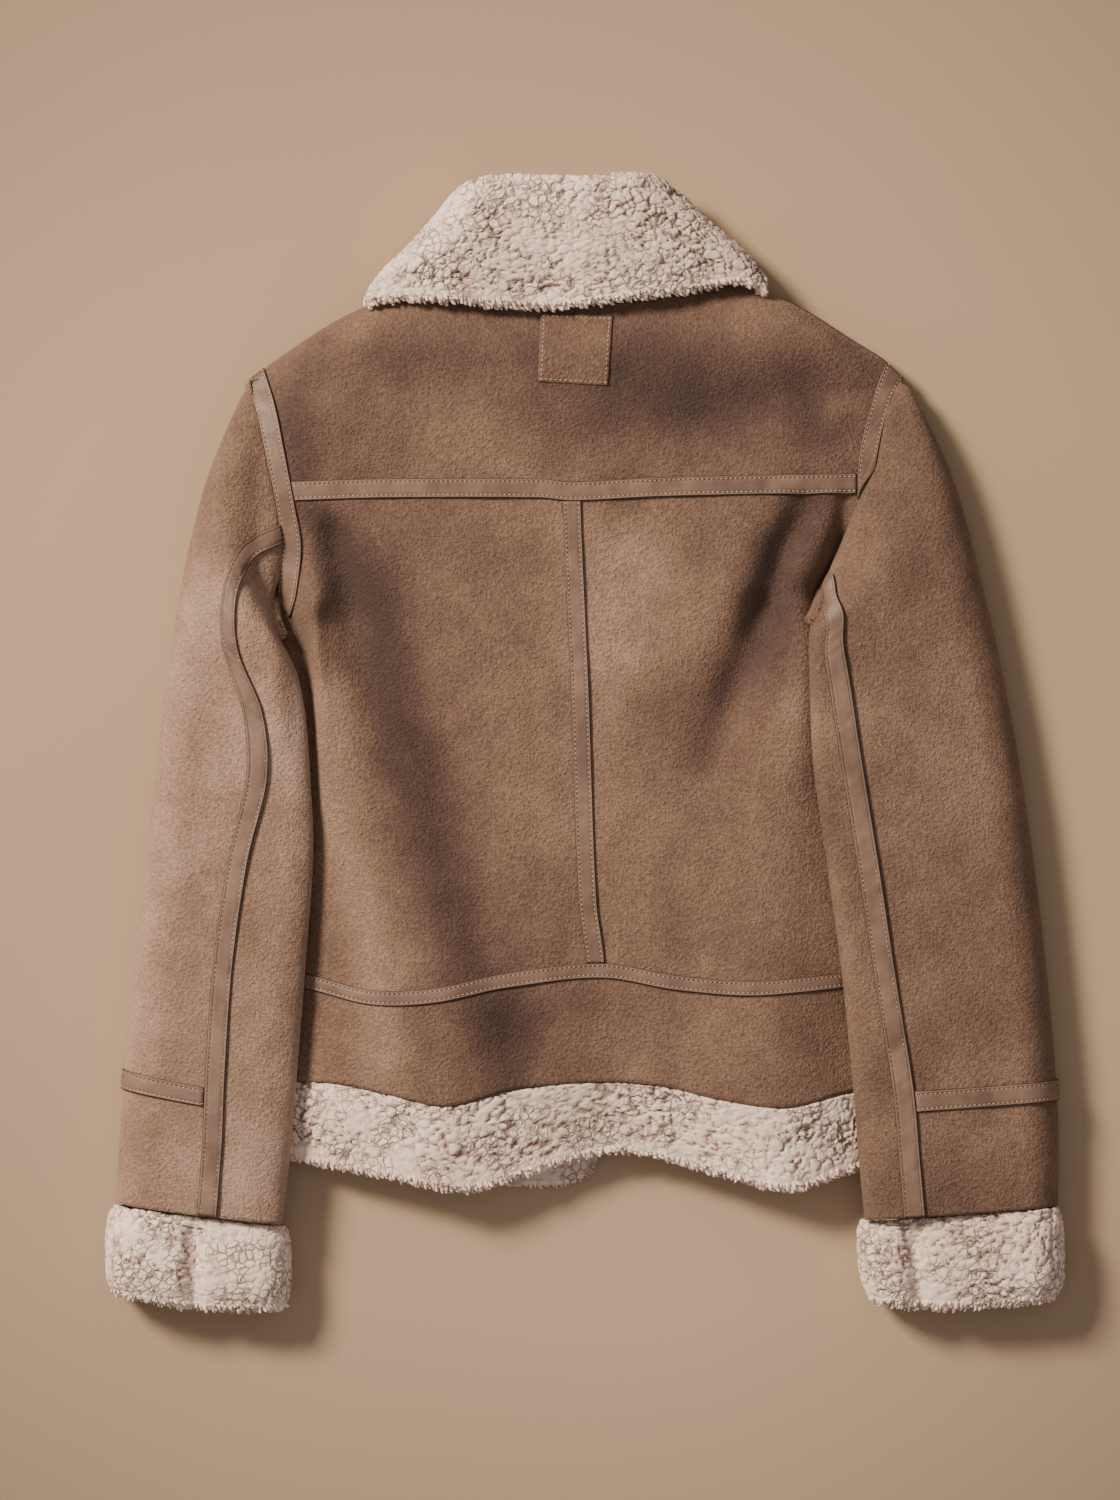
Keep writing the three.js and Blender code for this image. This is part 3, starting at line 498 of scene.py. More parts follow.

# %% [markdown]
# ## The suede panels
# Bonded suede is soft and about 5 mm thick with its pile backing, so it never creases
# sharply. Its own unevenness is a slow ripple under half a millimetre high, which catches
# low light. The panels are cut at the centre back, the yoke, the waist and the hem. Its tone
# is painted along strokes, partly nap and partly painted shade and light: darker in the lee
# of the folds and lighter on their ridges. Each stroke has a route of (x, y, tone, half
# width), below 0 where it is darker and above 0 where it is lighter.

# %% Brushed nap and painted shading
nap_and_shading_strokes = [
    fold((-169, 140, -1, 16), (-146, 90, -1, 18), (-137, 45, -1, 18), (-120, -10, -1, 20),
         (-108, -60, -1, 20), (-98, -110, -1, 21), (-80, -150, -0.9, 20), (-62, -190, -0.9, 20),
         (-50, -230, -0.8, 20)),
    fold((-172, 30, 0.7, 18), (-168, -50, 0.7, 18), (-155, -105, 0.8, 20), (-142, -160, 0.8, 22),
         (-132, -230, 0.7, 24)),
    fold((150, 165, -1, 15), (130, 130, -1, 16), (124, 100, -0.9, 15), (112, 65, -0.8, 14),
         (94, 35, -0.7, 14), (78, -10, -0.5, 14)),
    fold((162, 84, 0.7, 14), (158, 40, 0.6, 16), (150, 0, 0.2, 18)),
    fold((20, 240, -0.6, 26), (70, 234, -0.9, 24), (100, 232, -0.8, 20), (140, 246, -0.7, 18),
         (160, 204, -0.5, 14)),
    fold((-200, 225, -0.7, 14), (-190, 165, -0.8, 14), (-176, 140, -0.9, 14)),
    fold((-110, 220, 0.1, 26), (-60, 200, 0.1, 24), (-20, 170, 0.3, 26), (15, 125, 0.7, 30),
         (10, 60, 0.5, 30), (5, -20, 0.4, 30)),
    fold((40, 140, 0.4, 22), (68, 105, 0.5, 20), (66, 60, 0.4, 18)),
    fold((-48, 30, 0.4, 22), (-46, -20, 0.45, 22), (-20, -60, 0.5, 26), (0, -100, 0.2, 26)),
    fold((-130, 262, -0.5, 18), (-60, 268, -0.45, 18), (60, 270, -0.5, 20), (150, 262, -0.3, 18)),
    fold((-52, -185, -0.5, 20), (-10, -178, -0.3, 18), (60, -176, -0.1, 18)),
    fold((-190, 225, -0.35, 50), (0, 250, -0.35, 50), (180, 230, -0.35, 50)),
    fold((-150, 115, -0.7, 24), (-140, 60, -0.7, 24), (-128, 5, -0.4, 22)),
    fold((150, 122, -0.7, 20), (138, 80, -0.7, 20), (120, 36, -0.4, 20)),
    fold((66, 238, -0.4, 26), (150, 236, -0.4, 20)),
]


def nap_and_shading_of(p):
    nap = np.zeros(p.shape[:-1])
    for stroke in nap_and_shading_strokes:
        nap = nap + stroke(p[..., 0] + 5 * soft_noise(p, 28, 21), p[..., 1])
    return nap


print("strokes of nap:", len(nap_and_shading_strokes))

# %% Suede body
pieces = {}


def suede_relief(p, normal, width, length):
    ripple = 0.6 * soft_noise(p, 34, 5) + 0.3 * soft_noise(p, 13, 9)
    on_top = np.clip(normal[..., 2] * 2, 0, 1)
    # The strokes' tone, painted shade and light with some nap, is kept on faces that look up.
    return ripple * on_top, {"nap": nap_and_shading_of(p) * on_top}


GRAIN = 3.2  # mm between the points of the suede that shows
PLAIN = 5  # and of the fronts, which are hidden
ACROSS = fine(-1, 1, 420, GRAIN)
pieces["back_yoke"] = shell("back_yoke_suede", back_surface(3), ACROSS,
                            fine(0, 1, 130, GRAIN) ** 0.9, SUEDE, relief=suede_relief)
for name, half in (("left", -1), ("right", 1)):
    pieces[f"back_{name}"] = shell(
        f"back_{name}_suede", back_surface(2, half), fine(min(half, 0), max(half, 0), 210, GRAIN),
        fine(0, 1, 335, GRAIN), SUEDE, relief=suede_relief)
pieces["back_waist"] = shell("back_waist_suede", back_surface(1), ACROSS, fine(0, 1, 75, GRAIN),
                             SUEDE, relief=suede_relief)
for name, side in (("left", -1), ("right", 1)):
    run = fine(min(side, 0), max(side, 0), 210, PLAIN)[::-1]
    pieces[f"front_{name}"] = shell(
        f"front_{name}_suede", front_surface(shifted(hem_seam, HALF), front_top, side), run,
        fine(0, 1, 500, PLAIN), SUEDE)
print("suede body pieces:", len(pieces))

# %% [markdown]
# ## The sleeves
# A sleeve is a flattened tube. Its sections run from the armhole to the cuff, each between
# an outer fold and an inner fold; on top it crowns at about 45 mm, and below it rests on
# the surface, or on the side of the body where it overlaps it. Each row below gives the
# outer fold's x and y, the inner fold's x and y, and where the seam lies between them.

# %% Rows of the sleeves
SLEEVES = {
    -1: [[-229, 249, -210.5, 92, 0.66], [-243, 218, -206.5, 80, 0.59], [-257, 182, -205, 70, 0.54],
         [-268, 141, -200, 60, 0.5], [-277, 95, -194, 45, 0.52], [-285, 40, -189, 18, 0.68],
         [-292, -20, -186, -22, 0.71], [-299, -85, -184, -75, 0.61],
         [-306, -150, -189, -146, 0.575], [-313, -217, -195, -222, 0.585],
         [-316.5, -262, -199, -270, 0.6], [-319.5, -311, -205, -325, 0.607]],
    1: [[216, 250, 157, 100, 0.87], [228, 228, 153, 91, 0.85], [243, 197, 151, 81, 0.87],
        [255, 163, 150, 71, 0.86], [266, 121, 150, 58, 0.88], [280, 62, 150.5, 34, 0.865],
        [293, -5, 153, -14, 0.84], [304, -80, 163, -86, 0.83], [313, -156, 173, -161, 0.82],
        [319, -224, 180, -233, 0.79], [321, -270, 184, -280, 0.785],
        [320.5, -313, 188, -322, 0.78]],
}
SLEEVE_ROWS, FOREARM = 11, 9.2  # the last row, and the row of the forearm's cross seam
ROW_LENGTH, FOREARM_ROW = 65, 48  # mm from row to row, on average and at the forearm
CLEAR = 3.1  # how far the sleeve stays above the body it lies on
FRONT_SEAM = 0.4  # where the hidden seam runs underneath, as w
TIP, TUCK = 0.6, 13  # overhang at the shoulder tip, and height of the underarm's tuck

sleeve_folds = [
    fold((-227, 206, 2, 15), (-237, 150, 3.5, 17), (-240, 110, 4, 18), (-233, 71, 5, 15),
         (-218, 30, 3, 15), (-212, -30, 0, 16)),
    fold((-226, 117, -9, 5.5), (-218, 106, -15, 6.5), (-209, 92, -16, 7.5), (-203, 76, -6, 8)),
    fold((-221, 226, -2, 6), (-222, 190, -5, 8), (-221, 150, -6, 9), (-226, 126, -2, 8)),
    fold((218, 247, 2, 5), (226, 232, 4, 6), (232, 213, 3.5, 7), (238, 186, 1, 10)),
    fold((214, 240, -2, 5), (212, 215, -3, 7), (204, 185, -1, 8)),
    fold((-214, 84, 3, 7), (-208, 55, 4, 8), (-204, 10, 3, 10)),
]


print("rows of each sleeve:", len(SLEEVES[1]), "folds:", len(sleeve_folds))

# %% Sleeve tubes


def tip_share(w):
    """How much of the shoulder tip's small overhang is felt at w."""
    return 1 - smooth(w, 0.04, 0.2)


def gathered(w, row):
    """At the underarm the fold rises slowly out of the tuck."""
    return 1 - smooth(w, 0.86, 0.98) * (1 - smooth(row, 0.7, 2.4))


def sleeve_tube(side):
    """One sleeve as surface(turn, row), with its columns and its width at each row.

    w runs from the outer fold (0) to the inner fold (1); a turn from 0 to 1 goes over the
    top and back underneath. Near the armhole the tube bends on to the body's side fold."""
    columns = [table([[i, row[c]] for i, row in enumerate(SLEEVES[side])]) for c in range(5)]
    underarm = UNDERARM[side]

    def plan(w, row):
        x = lerp(columns[0](row), columns[2](row), w)
        y = lerp(columns[1](row), columns[3](row), w) - TIP * tip_share(w) * (1 - smooth(row, 0, 1))
        bend = (1 - smooth(row, 0, 1.6)) * lerp(1 - smooth(row, 0, 0.3), 1, smooth(w, 0, 0.12))
        tuck = -0.6 - (2.2 * smooth(w, 0.35, 0.55) if side > 0 else 0)
        seam = tuck + 4.2 * smooth(w, 0.82, 0.96) + TIP * tip_share(w)
        drift = 6 * np.minimum(row, 1) * np.sin(np.pi * w)
        proud = lerp(seam, 1, smooth(row, 0, 3)) + drift
        return lerp(x, at_side(y, side), bend) + side * proud, y

    def spread(row):
        return np.hypot(columns[0](row) - columns[2](row), columns[1](row) - columns[3](row))

    def inner_fold(row, away, flat):
        x, y = plan(1.0, row)
        on_body = smooth((at_side(y, side) - x) * side, -10, 0)
        rise = lerp(25, 30, smooth(row, 0, 2))
        middle = lerp(rise, np.maximum(back_height(x, y) + CLEAR + 5.5, rise), on_body)
        reach = np.clip((flat - middle) ** 2 / 6.5, 6, 22)
        return lerp(middle, flat, climb(away, reach, 1))

    def top(w, row, x, y):
        crown = lerp(SLEEVE_TOP - 5, SLEEVE_TOP + 1, smooth(w, 0.15, 0.8))
        for bend in sleeve_folds:
            crown = crown + bend(x, y)
        outer = climb(w * spread(row), 30, 1)
        z = inner_fold(row, (1 - w) * spread(row), lerp(SLEEVE_SIDE, crown, outer))
        joined = np.sin(np.clip(row / 3.2, 0, 1) * np.pi / 2) * gathered(w, row)
        seam = np.maximum(side_height(y, underarm) + HALF, TUCK * smooth(w, 0.82, 1))
        return lerp(seam, z, joined)

    def bottom(w, row, x, y):
        outer = climb(w * spread(row), 16, 1)
        inside = (at_side(y, side) - x) * side
        below = 1 - smooth(y, underarm - 4, underarm + 18)
        over = np.where((inside > 0) & (y < underarm + 6), back_height(x, y) + CLEAR, 0)
        strip = (TRIM + 2 * LIFT) * (1 - smooth(np.abs(row - FOREARM - 0.1), 0.2, 0.7))
        rest = np.maximum(np.maximum(24 * below * smooth(inside, -20, 3), over), strip)
        z = inner_fold(row, (1 - w) * spread(row), lerp(SLEEVE_SIDE, rest, outer))
        joined = np.sin(np.clip(row / 1.6, 0, 1) * np.pi / 2) * gathered(w, row)
        seam = np.maximum(front_height(at_side(y, side), y), TUCK * smooth(w, 0.82, 1))
        return np.minimum(np.maximum(lerp(seam, z, joined), over), top(w, row, x, y))

    def surface(turn, row):
        turn, row = np.broadcast_arrays(turn, row)
        angle = 2 * np.pi * turn
        w = (1 - np.cos(angle)) / 2
        x, y = plan(w, row)
        return x, y, np.where(np.sin(angle) >= 0, top(w, row, x, y), bottom(w, row, x, y))
    return surface, columns, spread


def turn_at(w):
    """The turn on top of the sleeve at which w is reached."""
    return np.arccos(1 - 2 * w) / (2 * np.pi)


def slanted(row, w, slant):
    """Rows pulled down towards the inner fold, most at the forearm's cross seam."""
    share = np.where(row < FOREARM, np.clip((row - 8) / (FOREARM - 8), 0, 1),
                     np.clip((SLEEVE_ROWS - row) / (SLEEVE_ROWS - FOREARM), 0, 1))
    return row + slant * w * share


print("the seam lies at", round(float(turn_at(SLEEVES[1][0][4])), 3), "of a turn, at the top")

# %% [markdown]
# ## Sleeve panels and their strips
# The tube is sewn from an outer panel, a forearm panel below a cross seam, and an under
# panel. The leather strip over the long seam has the same surface, a little prouder, so it
# can't lift off or sink in. A strip's relief is worked out across its own width.

# %% Relief of a strip
ROW_GAP = HALF / ROW_LENGTH
STITCH_INSET = 2.0
leather = {}


def strip_relief(lengthwise):
    """A folded strip: beaded edges, a groove under each row of stitches, small ripples."""
    def relief(p, normal, width, length):
        across, along = (width, length) if lengthwise else (length, width)
        middle = across.max(axis=1 if lengthwise else 0, keepdims=True) / 2
        off = middle - np.abs(across - middle)
        bead = (0.35 * np.exp(-((off - 0.7) / 0.6) ** 2)
                - 0.4 * np.exp(-((off - STITCH_INSET) / 0.6) ** 2))
        level = p[..., 0] * 0
        ripple = 0.3 * soft_noise(np.stack([along / 9, off / 25, level + 3], -1), 1.0, 31)
        ripple += 0.22 * soft_noise(np.stack([along / 4, off / 14, level + 7], -1), 1.0, 37)
        return bead + ripple * smooth(off, 0, 3), {"off": off * MM}
    return relief


print("stitches lie", STITCH_INSET, "mm in from a strip's edge")

# %% Cutting a sleeve
SLANT = {-1: 0.35, 1: 0}  # rows by which the forearm's cross seam drops towards the inner fold
STRIP_START = {-1: 0.25, 1: 1.15}  # the row where the long strip comes out of the armhole


def sleeve_cut(side):
    """Surfaces of one sleeve: outer panel, under panel, long strip and forearm strip."""
    surface, columns, spread = sleeve_tube(side)
    seam_w = columns[4]
    half_strip = STRIP / 2 / FOREARM_ROW

    def per_turn(row, w):
        return np.pi * spread(row) * np.sin(2 * np.pi * turn_at(w))

    def strip_turn(row, offset):
        return turn_at(seam_w(row)) + offset / per_turn(row, seam_w(row))

    def fore_turn(row, offset):
        return turn_at(FRONT_SEAM) + offset / per_turn(row, FRONT_SEAM)

    def on_slant(turn, row):
        return surface(turn, slanted(row, (1 - np.cos(2 * np.pi * turn)) / 2, SLANT[side]))

    def outer(s, row):
        return on_slant(lerp(-fore_turn(row, -3 * SEAM), strip_turn(row, -2.4 * SEAM), s), row)

    def under(s, row):
        return surface(lerp(strip_turn(row, 2 * SEAM), 1 - fore_turn(row, 2 * SEAM), s), row)

    def on_seam(s, t):
        row = lerp(STRIP_START[side], SLEEVE_ROWS - 0.02, t)
        return surface(strip_turn(row, (s - 0.5) * STRIP), row)

    def on_forearm(s, t):
        row = lerp(FOREARM - half_strip, FOREARM + half_strip, t)
        return on_slant(lerp(-fore_turn(row, -HALF), strip_turn(row, -STRIP / 2 - SEAM), s), row)

    return outer, under, on_seam, on_forearm


print("the left forearm seam drops", SLANT[-1] * ROW_LENGTH, "mm")

# %% Sleeve panels and strips
SEWN = []  # (surface, lengthwise, half width, length) of every strip that is stitched
NAP_AND_LIGHT_TONE = {-1: 0.95, 1: -0.05}  # the left sleeve is painted lighter, partly as nap and partly as painted light


def sleeve_relief(side):
    """Ripples, a pressed edge at the armhole seam, and the nap with painted light and shade."""
    def relief(p, normal, width, length):
        ripple = 0.7 * soft_noise(p, 40, 15) + 0.35 * soft_noise(p, 14, 19)
        # Painted light and shade: turned sides are painted lighter on the left sleeve, darker on
        # the right.
        painted_side_shading = 0.3 * (1 - np.clip(normal[..., 2], 0, 1)) * side
        # Painted light, partly nap: the left sleeve is lighter below the shoulder.
        nap = (NAP_AND_LIGHT_TONE[side] * (1 - 0.9 * smooth(p[..., 1], 60, 190))
               + 0.25 * soft_noise(p, 55, 23) - painted_side_shading)
        seam = 1.6 * (1 - np.sqrt(1 - (1 - np.clip(length / 5, 0, 1)) ** 2))
        return (ripple - seam) * np.clip(normal[..., 2] * 1.5 - 0.3, 0, 1), {"nap": nap}
    return relief


def ordered(values, side):
    """The two sleeves are mirrored, so one is walked backwards to keep faces outwards."""
    return values if side > 0 else values[::-1]


for name, side in (("left", -1), ("right", 1)):
    outer, under, on_seam, on_forearm = sleeve_cut(side)
    for part, panel, reach, down in (
            ("outer", outer, 130, fine(0, FOREARM - ROW_GAP, 560, GRAIN)),
            ("forearm", outer, 130, fine(FOREARM + ROW_GAP, SLEEVE_ROWS, 100, GRAIN)),
            ("under", under, 100, fine(0, SLEEVE_ROWS, 660, GRAIN))):
        pieces[f"sleeve_{name}_{part}"] = shell(
            f"sleeve_{name}_{part}_suede", panel, ordered(fine(0, 1, reach, GRAIN), side), down,
            SUEDE, relief=sleeve_relief(side))
    leather[f"sleeve_strip_{name}"] = shell(
        f"sleeve_strip_{name}_leather", on_seam, ordered(fine(0, 1, STRIP, 1.0), side),
        fine(0, 1, 640, 2.0), -2 * LIFT, 2 * LIFT + TRIM, relief=strip_relief(True))
    leather[f"forearm_strip_{name}"] = shell(
        f"forearm_strip_{name}_leather", on_forearm, ordered(fine(0, 1, 130, 2.0), side),
        fine(0, 1, STRIP, 1.0), -LIFT, LIFT + TRIM, relief=strip_relief(False))
    SEWN.append((on_seam, True, STRIP / 2, 640))
    SEWN.append((on_forearm, False, STRIP / 2, 105))
print("sleeve pieces:", len(pieces), "leather strips:", len(leather))

# %% [markdown]
# ## Curly fleece
# Sherpa pile is knitted long and tumbled until it curls into clumps five to nine
# millimetres across, with dark cracks between them. Hair strands would cost millions of
# faces, so the pile is carved from the surface instead: a cell pattern gives the clumps, a
# second finer one their curls, and soft noise lets the cracks fade where the pile is combed
# flat. The crack depth is kept as an attribute, which the material reads for its shade.

# %% Fleece relief


CLUMP, CURL, PILE_DEPTH = 7.2, 3.4, 2.8
COMB = np.array([2.3, 12.0, 12.0])  # a combed lock is narrow along the edge, long off it
COMBED_RIM = 3  # a rim that rounds over further than this is a free, combed edge


def wander(p, seed):
    """Bend space a little, so that no clump has straight sides."""
    bent = 2.4 * np.stack([soft_noise(p, 9, seed + k) for k in (1, 2, 3)], -1)
    return bent, 1.5 * np.stack([soft_noise(p, 3.6, seed + k) for k in (4, 5, 6)], -1)


def fleece_relief(rim_low=0.0, rim_high=0.0, stretch=(1, 1, 1), seed=11, painted_shade=None):
    """Relief for pile; the rims are how far it rounds over at the piece's two ends.

    The last argument gives, from x, painted shade added to the pile's cracks, below 0 for less."""
    def relief(p, normal, width, length):
        broad, narrow = wander(p, seed)
        bent = p / np.array(stretch) + broad + narrow
        big = clump_gap(bent, CLUMP, seed)
        small = clump_gap(bent, CURL, seed + 20)
        loose = smooth(soft_noise(p, 34, seed + 7), -0.7, 0.2)
        torn = smooth(soft_noise(p, 11, seed + 8), -0.8, 0.2)
        crack = (1 - smooth(big, 0.0, 0.15)) * lerp(0.5, 1.0, torn)
        curl = 1 - smooth(small, 0.0, 0.2)
        low = np.minimum(crack + 0.25 * curl, 1.1) * lerp(0.55, 1.0, loose)
        height = 0.7 - PILE_DEPTH * low + 0.6 * soft_noise(p, 22, seed + 9)
        total = length.max(axis=0, keepdims=True)
        combed = soft_noise(p / COMB, 1.0, seed + 13)
        for rim, away in ((rim_low, length), (rim_high, total - length)):
            if rim > COMBED_RIM:
                hanging = 1 - smooth(away + 3 * soft_noise(p, 8, seed + 14), 4, 10)
                height = lerp(height, 0.9 * combed, hanging)
                low = lerp(low, np.clip(-0.9 * combed, 0, 0.6), hanging)
        for rim, away in ((rim_low, length), (rim_high, total - length)):
            if rim:
                share = np.clip(away / rim, 0, 1)
                height = height - rim * (1 - np.sqrt(np.maximum(1 - (1 - share) ** 2, 0)))
        if painted_shade:
            low = low + painted_shade(p[..., 0])
        return height, {"crack": np.clip(low, 0, 1.2)}
    return relief


print("clumps of", CLUMP, "mm with curls of", CURL, "mm")

# %% [markdown]
# ## The hem band
# The band is three pieces: one across the back and one on each front. Its free edge is
# combed down, and its seam is pressed under the suede. In the middle the pile is painted
# darker, as painted shade.

# %% Hem band
PILE, PILE_PLAIN = 1.25, 1.7  # mm between points, where the fleece shows and where it hides


# Painted shade: the pile is painted darker in the middle of the hem.
def hem_painted_shade(x):
    return 0.4 * (1 - smooth(np.abs(x + 4), 20, 75)) - 0.06


pieces["hem_back"] = shell("hem_back_fleece", back_surface(0), fine(-1, 1, 430, PILE),
                           fine(0, 1, 58, PILE), HEM,
                           relief=fleece_relief(4.5, 1.6, (1.0, 1.15, 1), 11, hem_painted_shade))
for name, side in (("left", -1), ("right", 1)):
    run = fine(min(side, 0), max(side, 0), 210, PILE_PLAIN)[::-1]
    pieces[f"hem_front_{name}"] = shell(
        f"hem_front_{name}_fleece", front_surface(front_hem, shifted(hem_seam, -HALF), side), run,
        fine(0, 1, 60, PILE_PLAIN), HEM, relief=fleece_relief(3.5, 1.5, seed=51))

# %% [markdown]
# ## The turned-back cuffs
# Each cuff is a short fleece tube, turned back and tacked, so it puffs out beyond the
# sleeve and shows a groove where its own seam runs. Each row gives the outer fold's x and
# y, the inner fold's x and y, and the height on top.

# %% Cuffs
CUFFS = {
    "left": [[-320.5, -312.2, -205, -326.6, 39], [-325, -322, -201.5, -336, 42],
             [-327, -343, -200.5, -354, 43], [-326.5, -362, -201, -371, 41],
             [-321, -374, -206, -385, 36]],
    "right": [[321.5, -313.6, 187.5, -322.6, 39], [324, -324, 184.5, -333, 42],
              [325.5, -345, 185.5, -350, 43], [325, -364, 188.5, -366, 41],
              [319, -378, 196, -381, 36]],
}
CUFF_GROOVE = {"left": 0.48, "right": 0.73}
CUFF_SIDE = 17


# Less painted shade: the cuffs' pile is painted a little lighter.
def cuff_less_painted_shade(x):
    return 0 * x - 0.12


def cuff_tube(name):
    columns = [table([[i, row[c]] for i, row in enumerate(CUFFS[name])]) for c in range(5)]

    def tube(turn, row):
        angle = 2 * np.pi * turn
        w = (1 - np.cos(angle)) / 2
        wide = np.abs(columns[2](row) - columns[0](row))
        x = lerp(columns[0](row), columns[2](row), w)
        y = lerp(columns[1](row), columns[3](row), w) - 4 * np.sin(np.pi * w) * (row / 4)
        inside = np.minimum(w, 1 - w) * wide
        dent = 8 * np.exp(-(((w - CUFF_GROOVE[name]) / 0.05) ** 2)) * smooth(row, 0, 1.5)
        high = lerp(CUFF_SIDE, columns[4](row) - dent, climb(inside, 24, 1))
        low = lerp(CUFF_SIDE, 1.5 * (1 - smooth(row, 0, 1)), climb(inside, 15, 1))
        return x, y, np.where(np.sin(angle) >= 0, high, low)
    return tube


for name in CUFFS:
    turns = fine(0, 1, 265, PILE)[:-1]
    pieces[f"cuff_{name}"] = shell(f"cuff_{name}_fleece", cuff_tube(name),
                                   turns if name == "right" else turns[::-1],
                                   fine(0, 4, 62, PILE), FLEECE, loop=True,
                                   relief=fleece_relief(1.5, 6.0, (1.25, 0.9, 1), 71,
                                                        cuff_less_painted_shade))

# %% [markdown]
# ## Leather strips and the neck patch
# Flat-felled seams on such a jacket are covered by smooth leather strips, 13 mm wide, with
# both edges folded under. Each is a narrow shell on the back's own height, lifted by half
# a millimetre. The patch below the collar is a plain square of suede, left bare.

# %% Strips of the armholes


def on_back(plan):
    """A surface lying on the cloth of the back, from its plan."""
    def surface(s, t):
        x, y = plan(s, t)
        return x, y, cloth_height(x, y)
    return surface


def lay_strip(node, plan, across, along, lengthwise, wide=STRIP):
    """Make a strip on the back, and note it for its stitches."""
    SEWN.append((on_back(plan), lengthwise, wide / 2, max(len(across), len(along)) * 2))
    leather[node] = shell(f"{node}_leather", on_back(plan), across, along, -LIFT, LIFT + TRIM,
                          relief=strip_relief(lengthwise))


# Inner edges of the armhole strips, x by y, and their ends: outer and inner y at the foot,
# then at the top, because both ends are cut on the slant.
arm_inner = {
    -1: table([[86, -201], [98, -197], [113, -194.5], [137, -193], [160, -197], [202, -205],
               [225, -209.5], [257, -219]]),
    1: table([[166, 184.5], [182, 184], [201, 186], [219, 190], [244, 197.5], [262, 204]]),
}
ARM_ENDS = {-1: (99, 87, 248, 256), 1: (186, 167, 249, 260.5)}
for name, side in (("left", -1), ("right", 1)):
    def armhole(s, t, side=side):
        inward = s if side < 0 else 1 - s
        low_out, low_in, top_out, top_in = ARM_ENDS[side]
        y = lerp(lerp(low_out, low_in, inward), lerp(top_out, top_in, inward), t)
        return lerp(at_side(y, side) + side * 0.9, arm_inner[side](y), inward), y
    lay_strip(f"armhole_strip_{name}", armhole, fine(0, 1, STRIP, 1.0),
              fine(0, 1, ARM_ENDS[side][3] - ARM_ENDS[side][1], 2.0), True)

# %% Strips of the yoke, the centre back and the waist
WAIST_STRIP = 10


def yoke_plan(s, t):
    off = lerp(-STRIP / 2, STRIP / 2, t)
    low = arm_inner[-1](yoke_line(-198) + off) + 2 * SEAM
    x = lerp(low, arm_inner[1](yoke_line(184) + off) - 2 * SEAM, s)
    return x, yoke_line(x) + off


def centre_plan(s, t):
    y = lerp(waist_line(6) + 5.4, yoke_line(-10) - 6.5 - SEAM, t)
    return centre_back(y) + lerp(-6.2, 6.2, s), y


def waist_plan(s, t):
    u = lerp(-0.93, 0.93, s)
    middle = centre_back(-160)
    x = middle + (at_side(-160, np.sign(u)) - middle) * np.sin(np.abs(u) * np.pi / 2)
    return x, waist_line(x) + lerp(-WAIST_STRIP / 2, WAIST_STRIP / 2, t)


lay_strip("yoke_strip", yoke_plan, fine(0, 1, 380, 2.0), fine(0, 1, STRIP, 1.0), False)
lay_strip("centre_back_strip", centre_plan, fine(0, 1, STRIP, 1.0), fine(0, 1, 320, 2.0), True)
lay_strip("waist_strip", waist_plan, fine(0, 1, 400, 2.0), fine(0, 1, WAIST_STRIP, 0.9),
          False, WAIST_STRIP)

# %% The neck patch


def patch_plan(s, t):
    return (lerp(lerp(-32.6, 14.8, s), lerp(-30.8, 18.2, s), t),
            lerp(lerp(246.2, 243.6, s), lerp(293.1, 291.3, s), t))


def patch_relief(p, normal, width, length):
    off = np.minimum(np.minimum(width, width.max(1, keepdims=True) - width),
                     np.minimum(length, length.max(0, keepdims=True) - length))
    return (0.25 * soft_noise(p, 14, 9) - 0.7 * (1 - smooth(off, 0, 1.6))
            - 0.25 * np.exp(-((off - 2.2) / 0.7) ** 2)), {}


pieces["neck_patch"] = shell("neck_patch_suede", on_back(patch_plan), fine(0, 1, 49, 1.0),
                             fine(0, 1, 49, 1.0), -LIFT, LIFT + TRIM, relief=patch_relief)

# %% [markdown]
# ## The collar
# The collar stands, folds over at its top edge and falls on the yoke. Its fall is sewn in
# two parts, with a seam that the pile half hides. The stand below it and the two leaves in
# front are hidden here, and finished plainly.

# %% Outline of the collar
collar_left = table([[296, -151], [306, -150], [322, -139], [342, -119], [360, -103], [375, -91],
                     [389, -74]])
collar_right = table([[296, 122], [306, 123], [318, 122], [335, 109], [354, 87], [368, 72],
                      [380, 61], [389, 52]])
collar_top = table([[-80, 383], [-63, 387], [-3, 386], [39, 388.5], [52, 384], [64, 375]])
collar_low = table([[-150, 299], [-129, 303], [-91, 301], [-58, 298], [-24, 297], [14, 301],
                    [43, 305], [71, 308], [96, 313], [110, 313], [123, 306]])
collar_seam = table([[-123, 345], [-53, 344], [-5, 341.5], [23.5, 346], [62, 350], [95, 351]])


def collar_height(x, y):
    away = np.minimum(x - collar_left(y), collar_right(y) - x) * 0.75
    middle = lerp(26, 17, smooth(y, 316, 346))
    flat = (lerp(40, 45, smooth(y, 306, 340)) + 1.2 * np.sin(x / 17)
            - 3 * smooth(np.abs(x - NECK), 60, 130))
    z = lerp(middle, flat, climb(away, 20, 1))
    return lerp(np.minimum(z, 30), z, climb(collar_top(x) + 1.5 - y, 9, 1)) + HALF


def collar_surface(low, high):
    def surface(u, t):
        x, y = 100 * u, np.full(np.shape(u), 340.0)
        for _ in range(SETTLE):
            y = lerp(low(x), high(x), t)
            middle = (collar_left(y) + collar_right(y)) / 2
            half = (collar_right(y) - collar_left(y)) / 2
            x = middle + half * np.sin(np.clip(u, -1, 1) * np.pi / 2)
        return x, y, collar_height(x, y)
    return surface


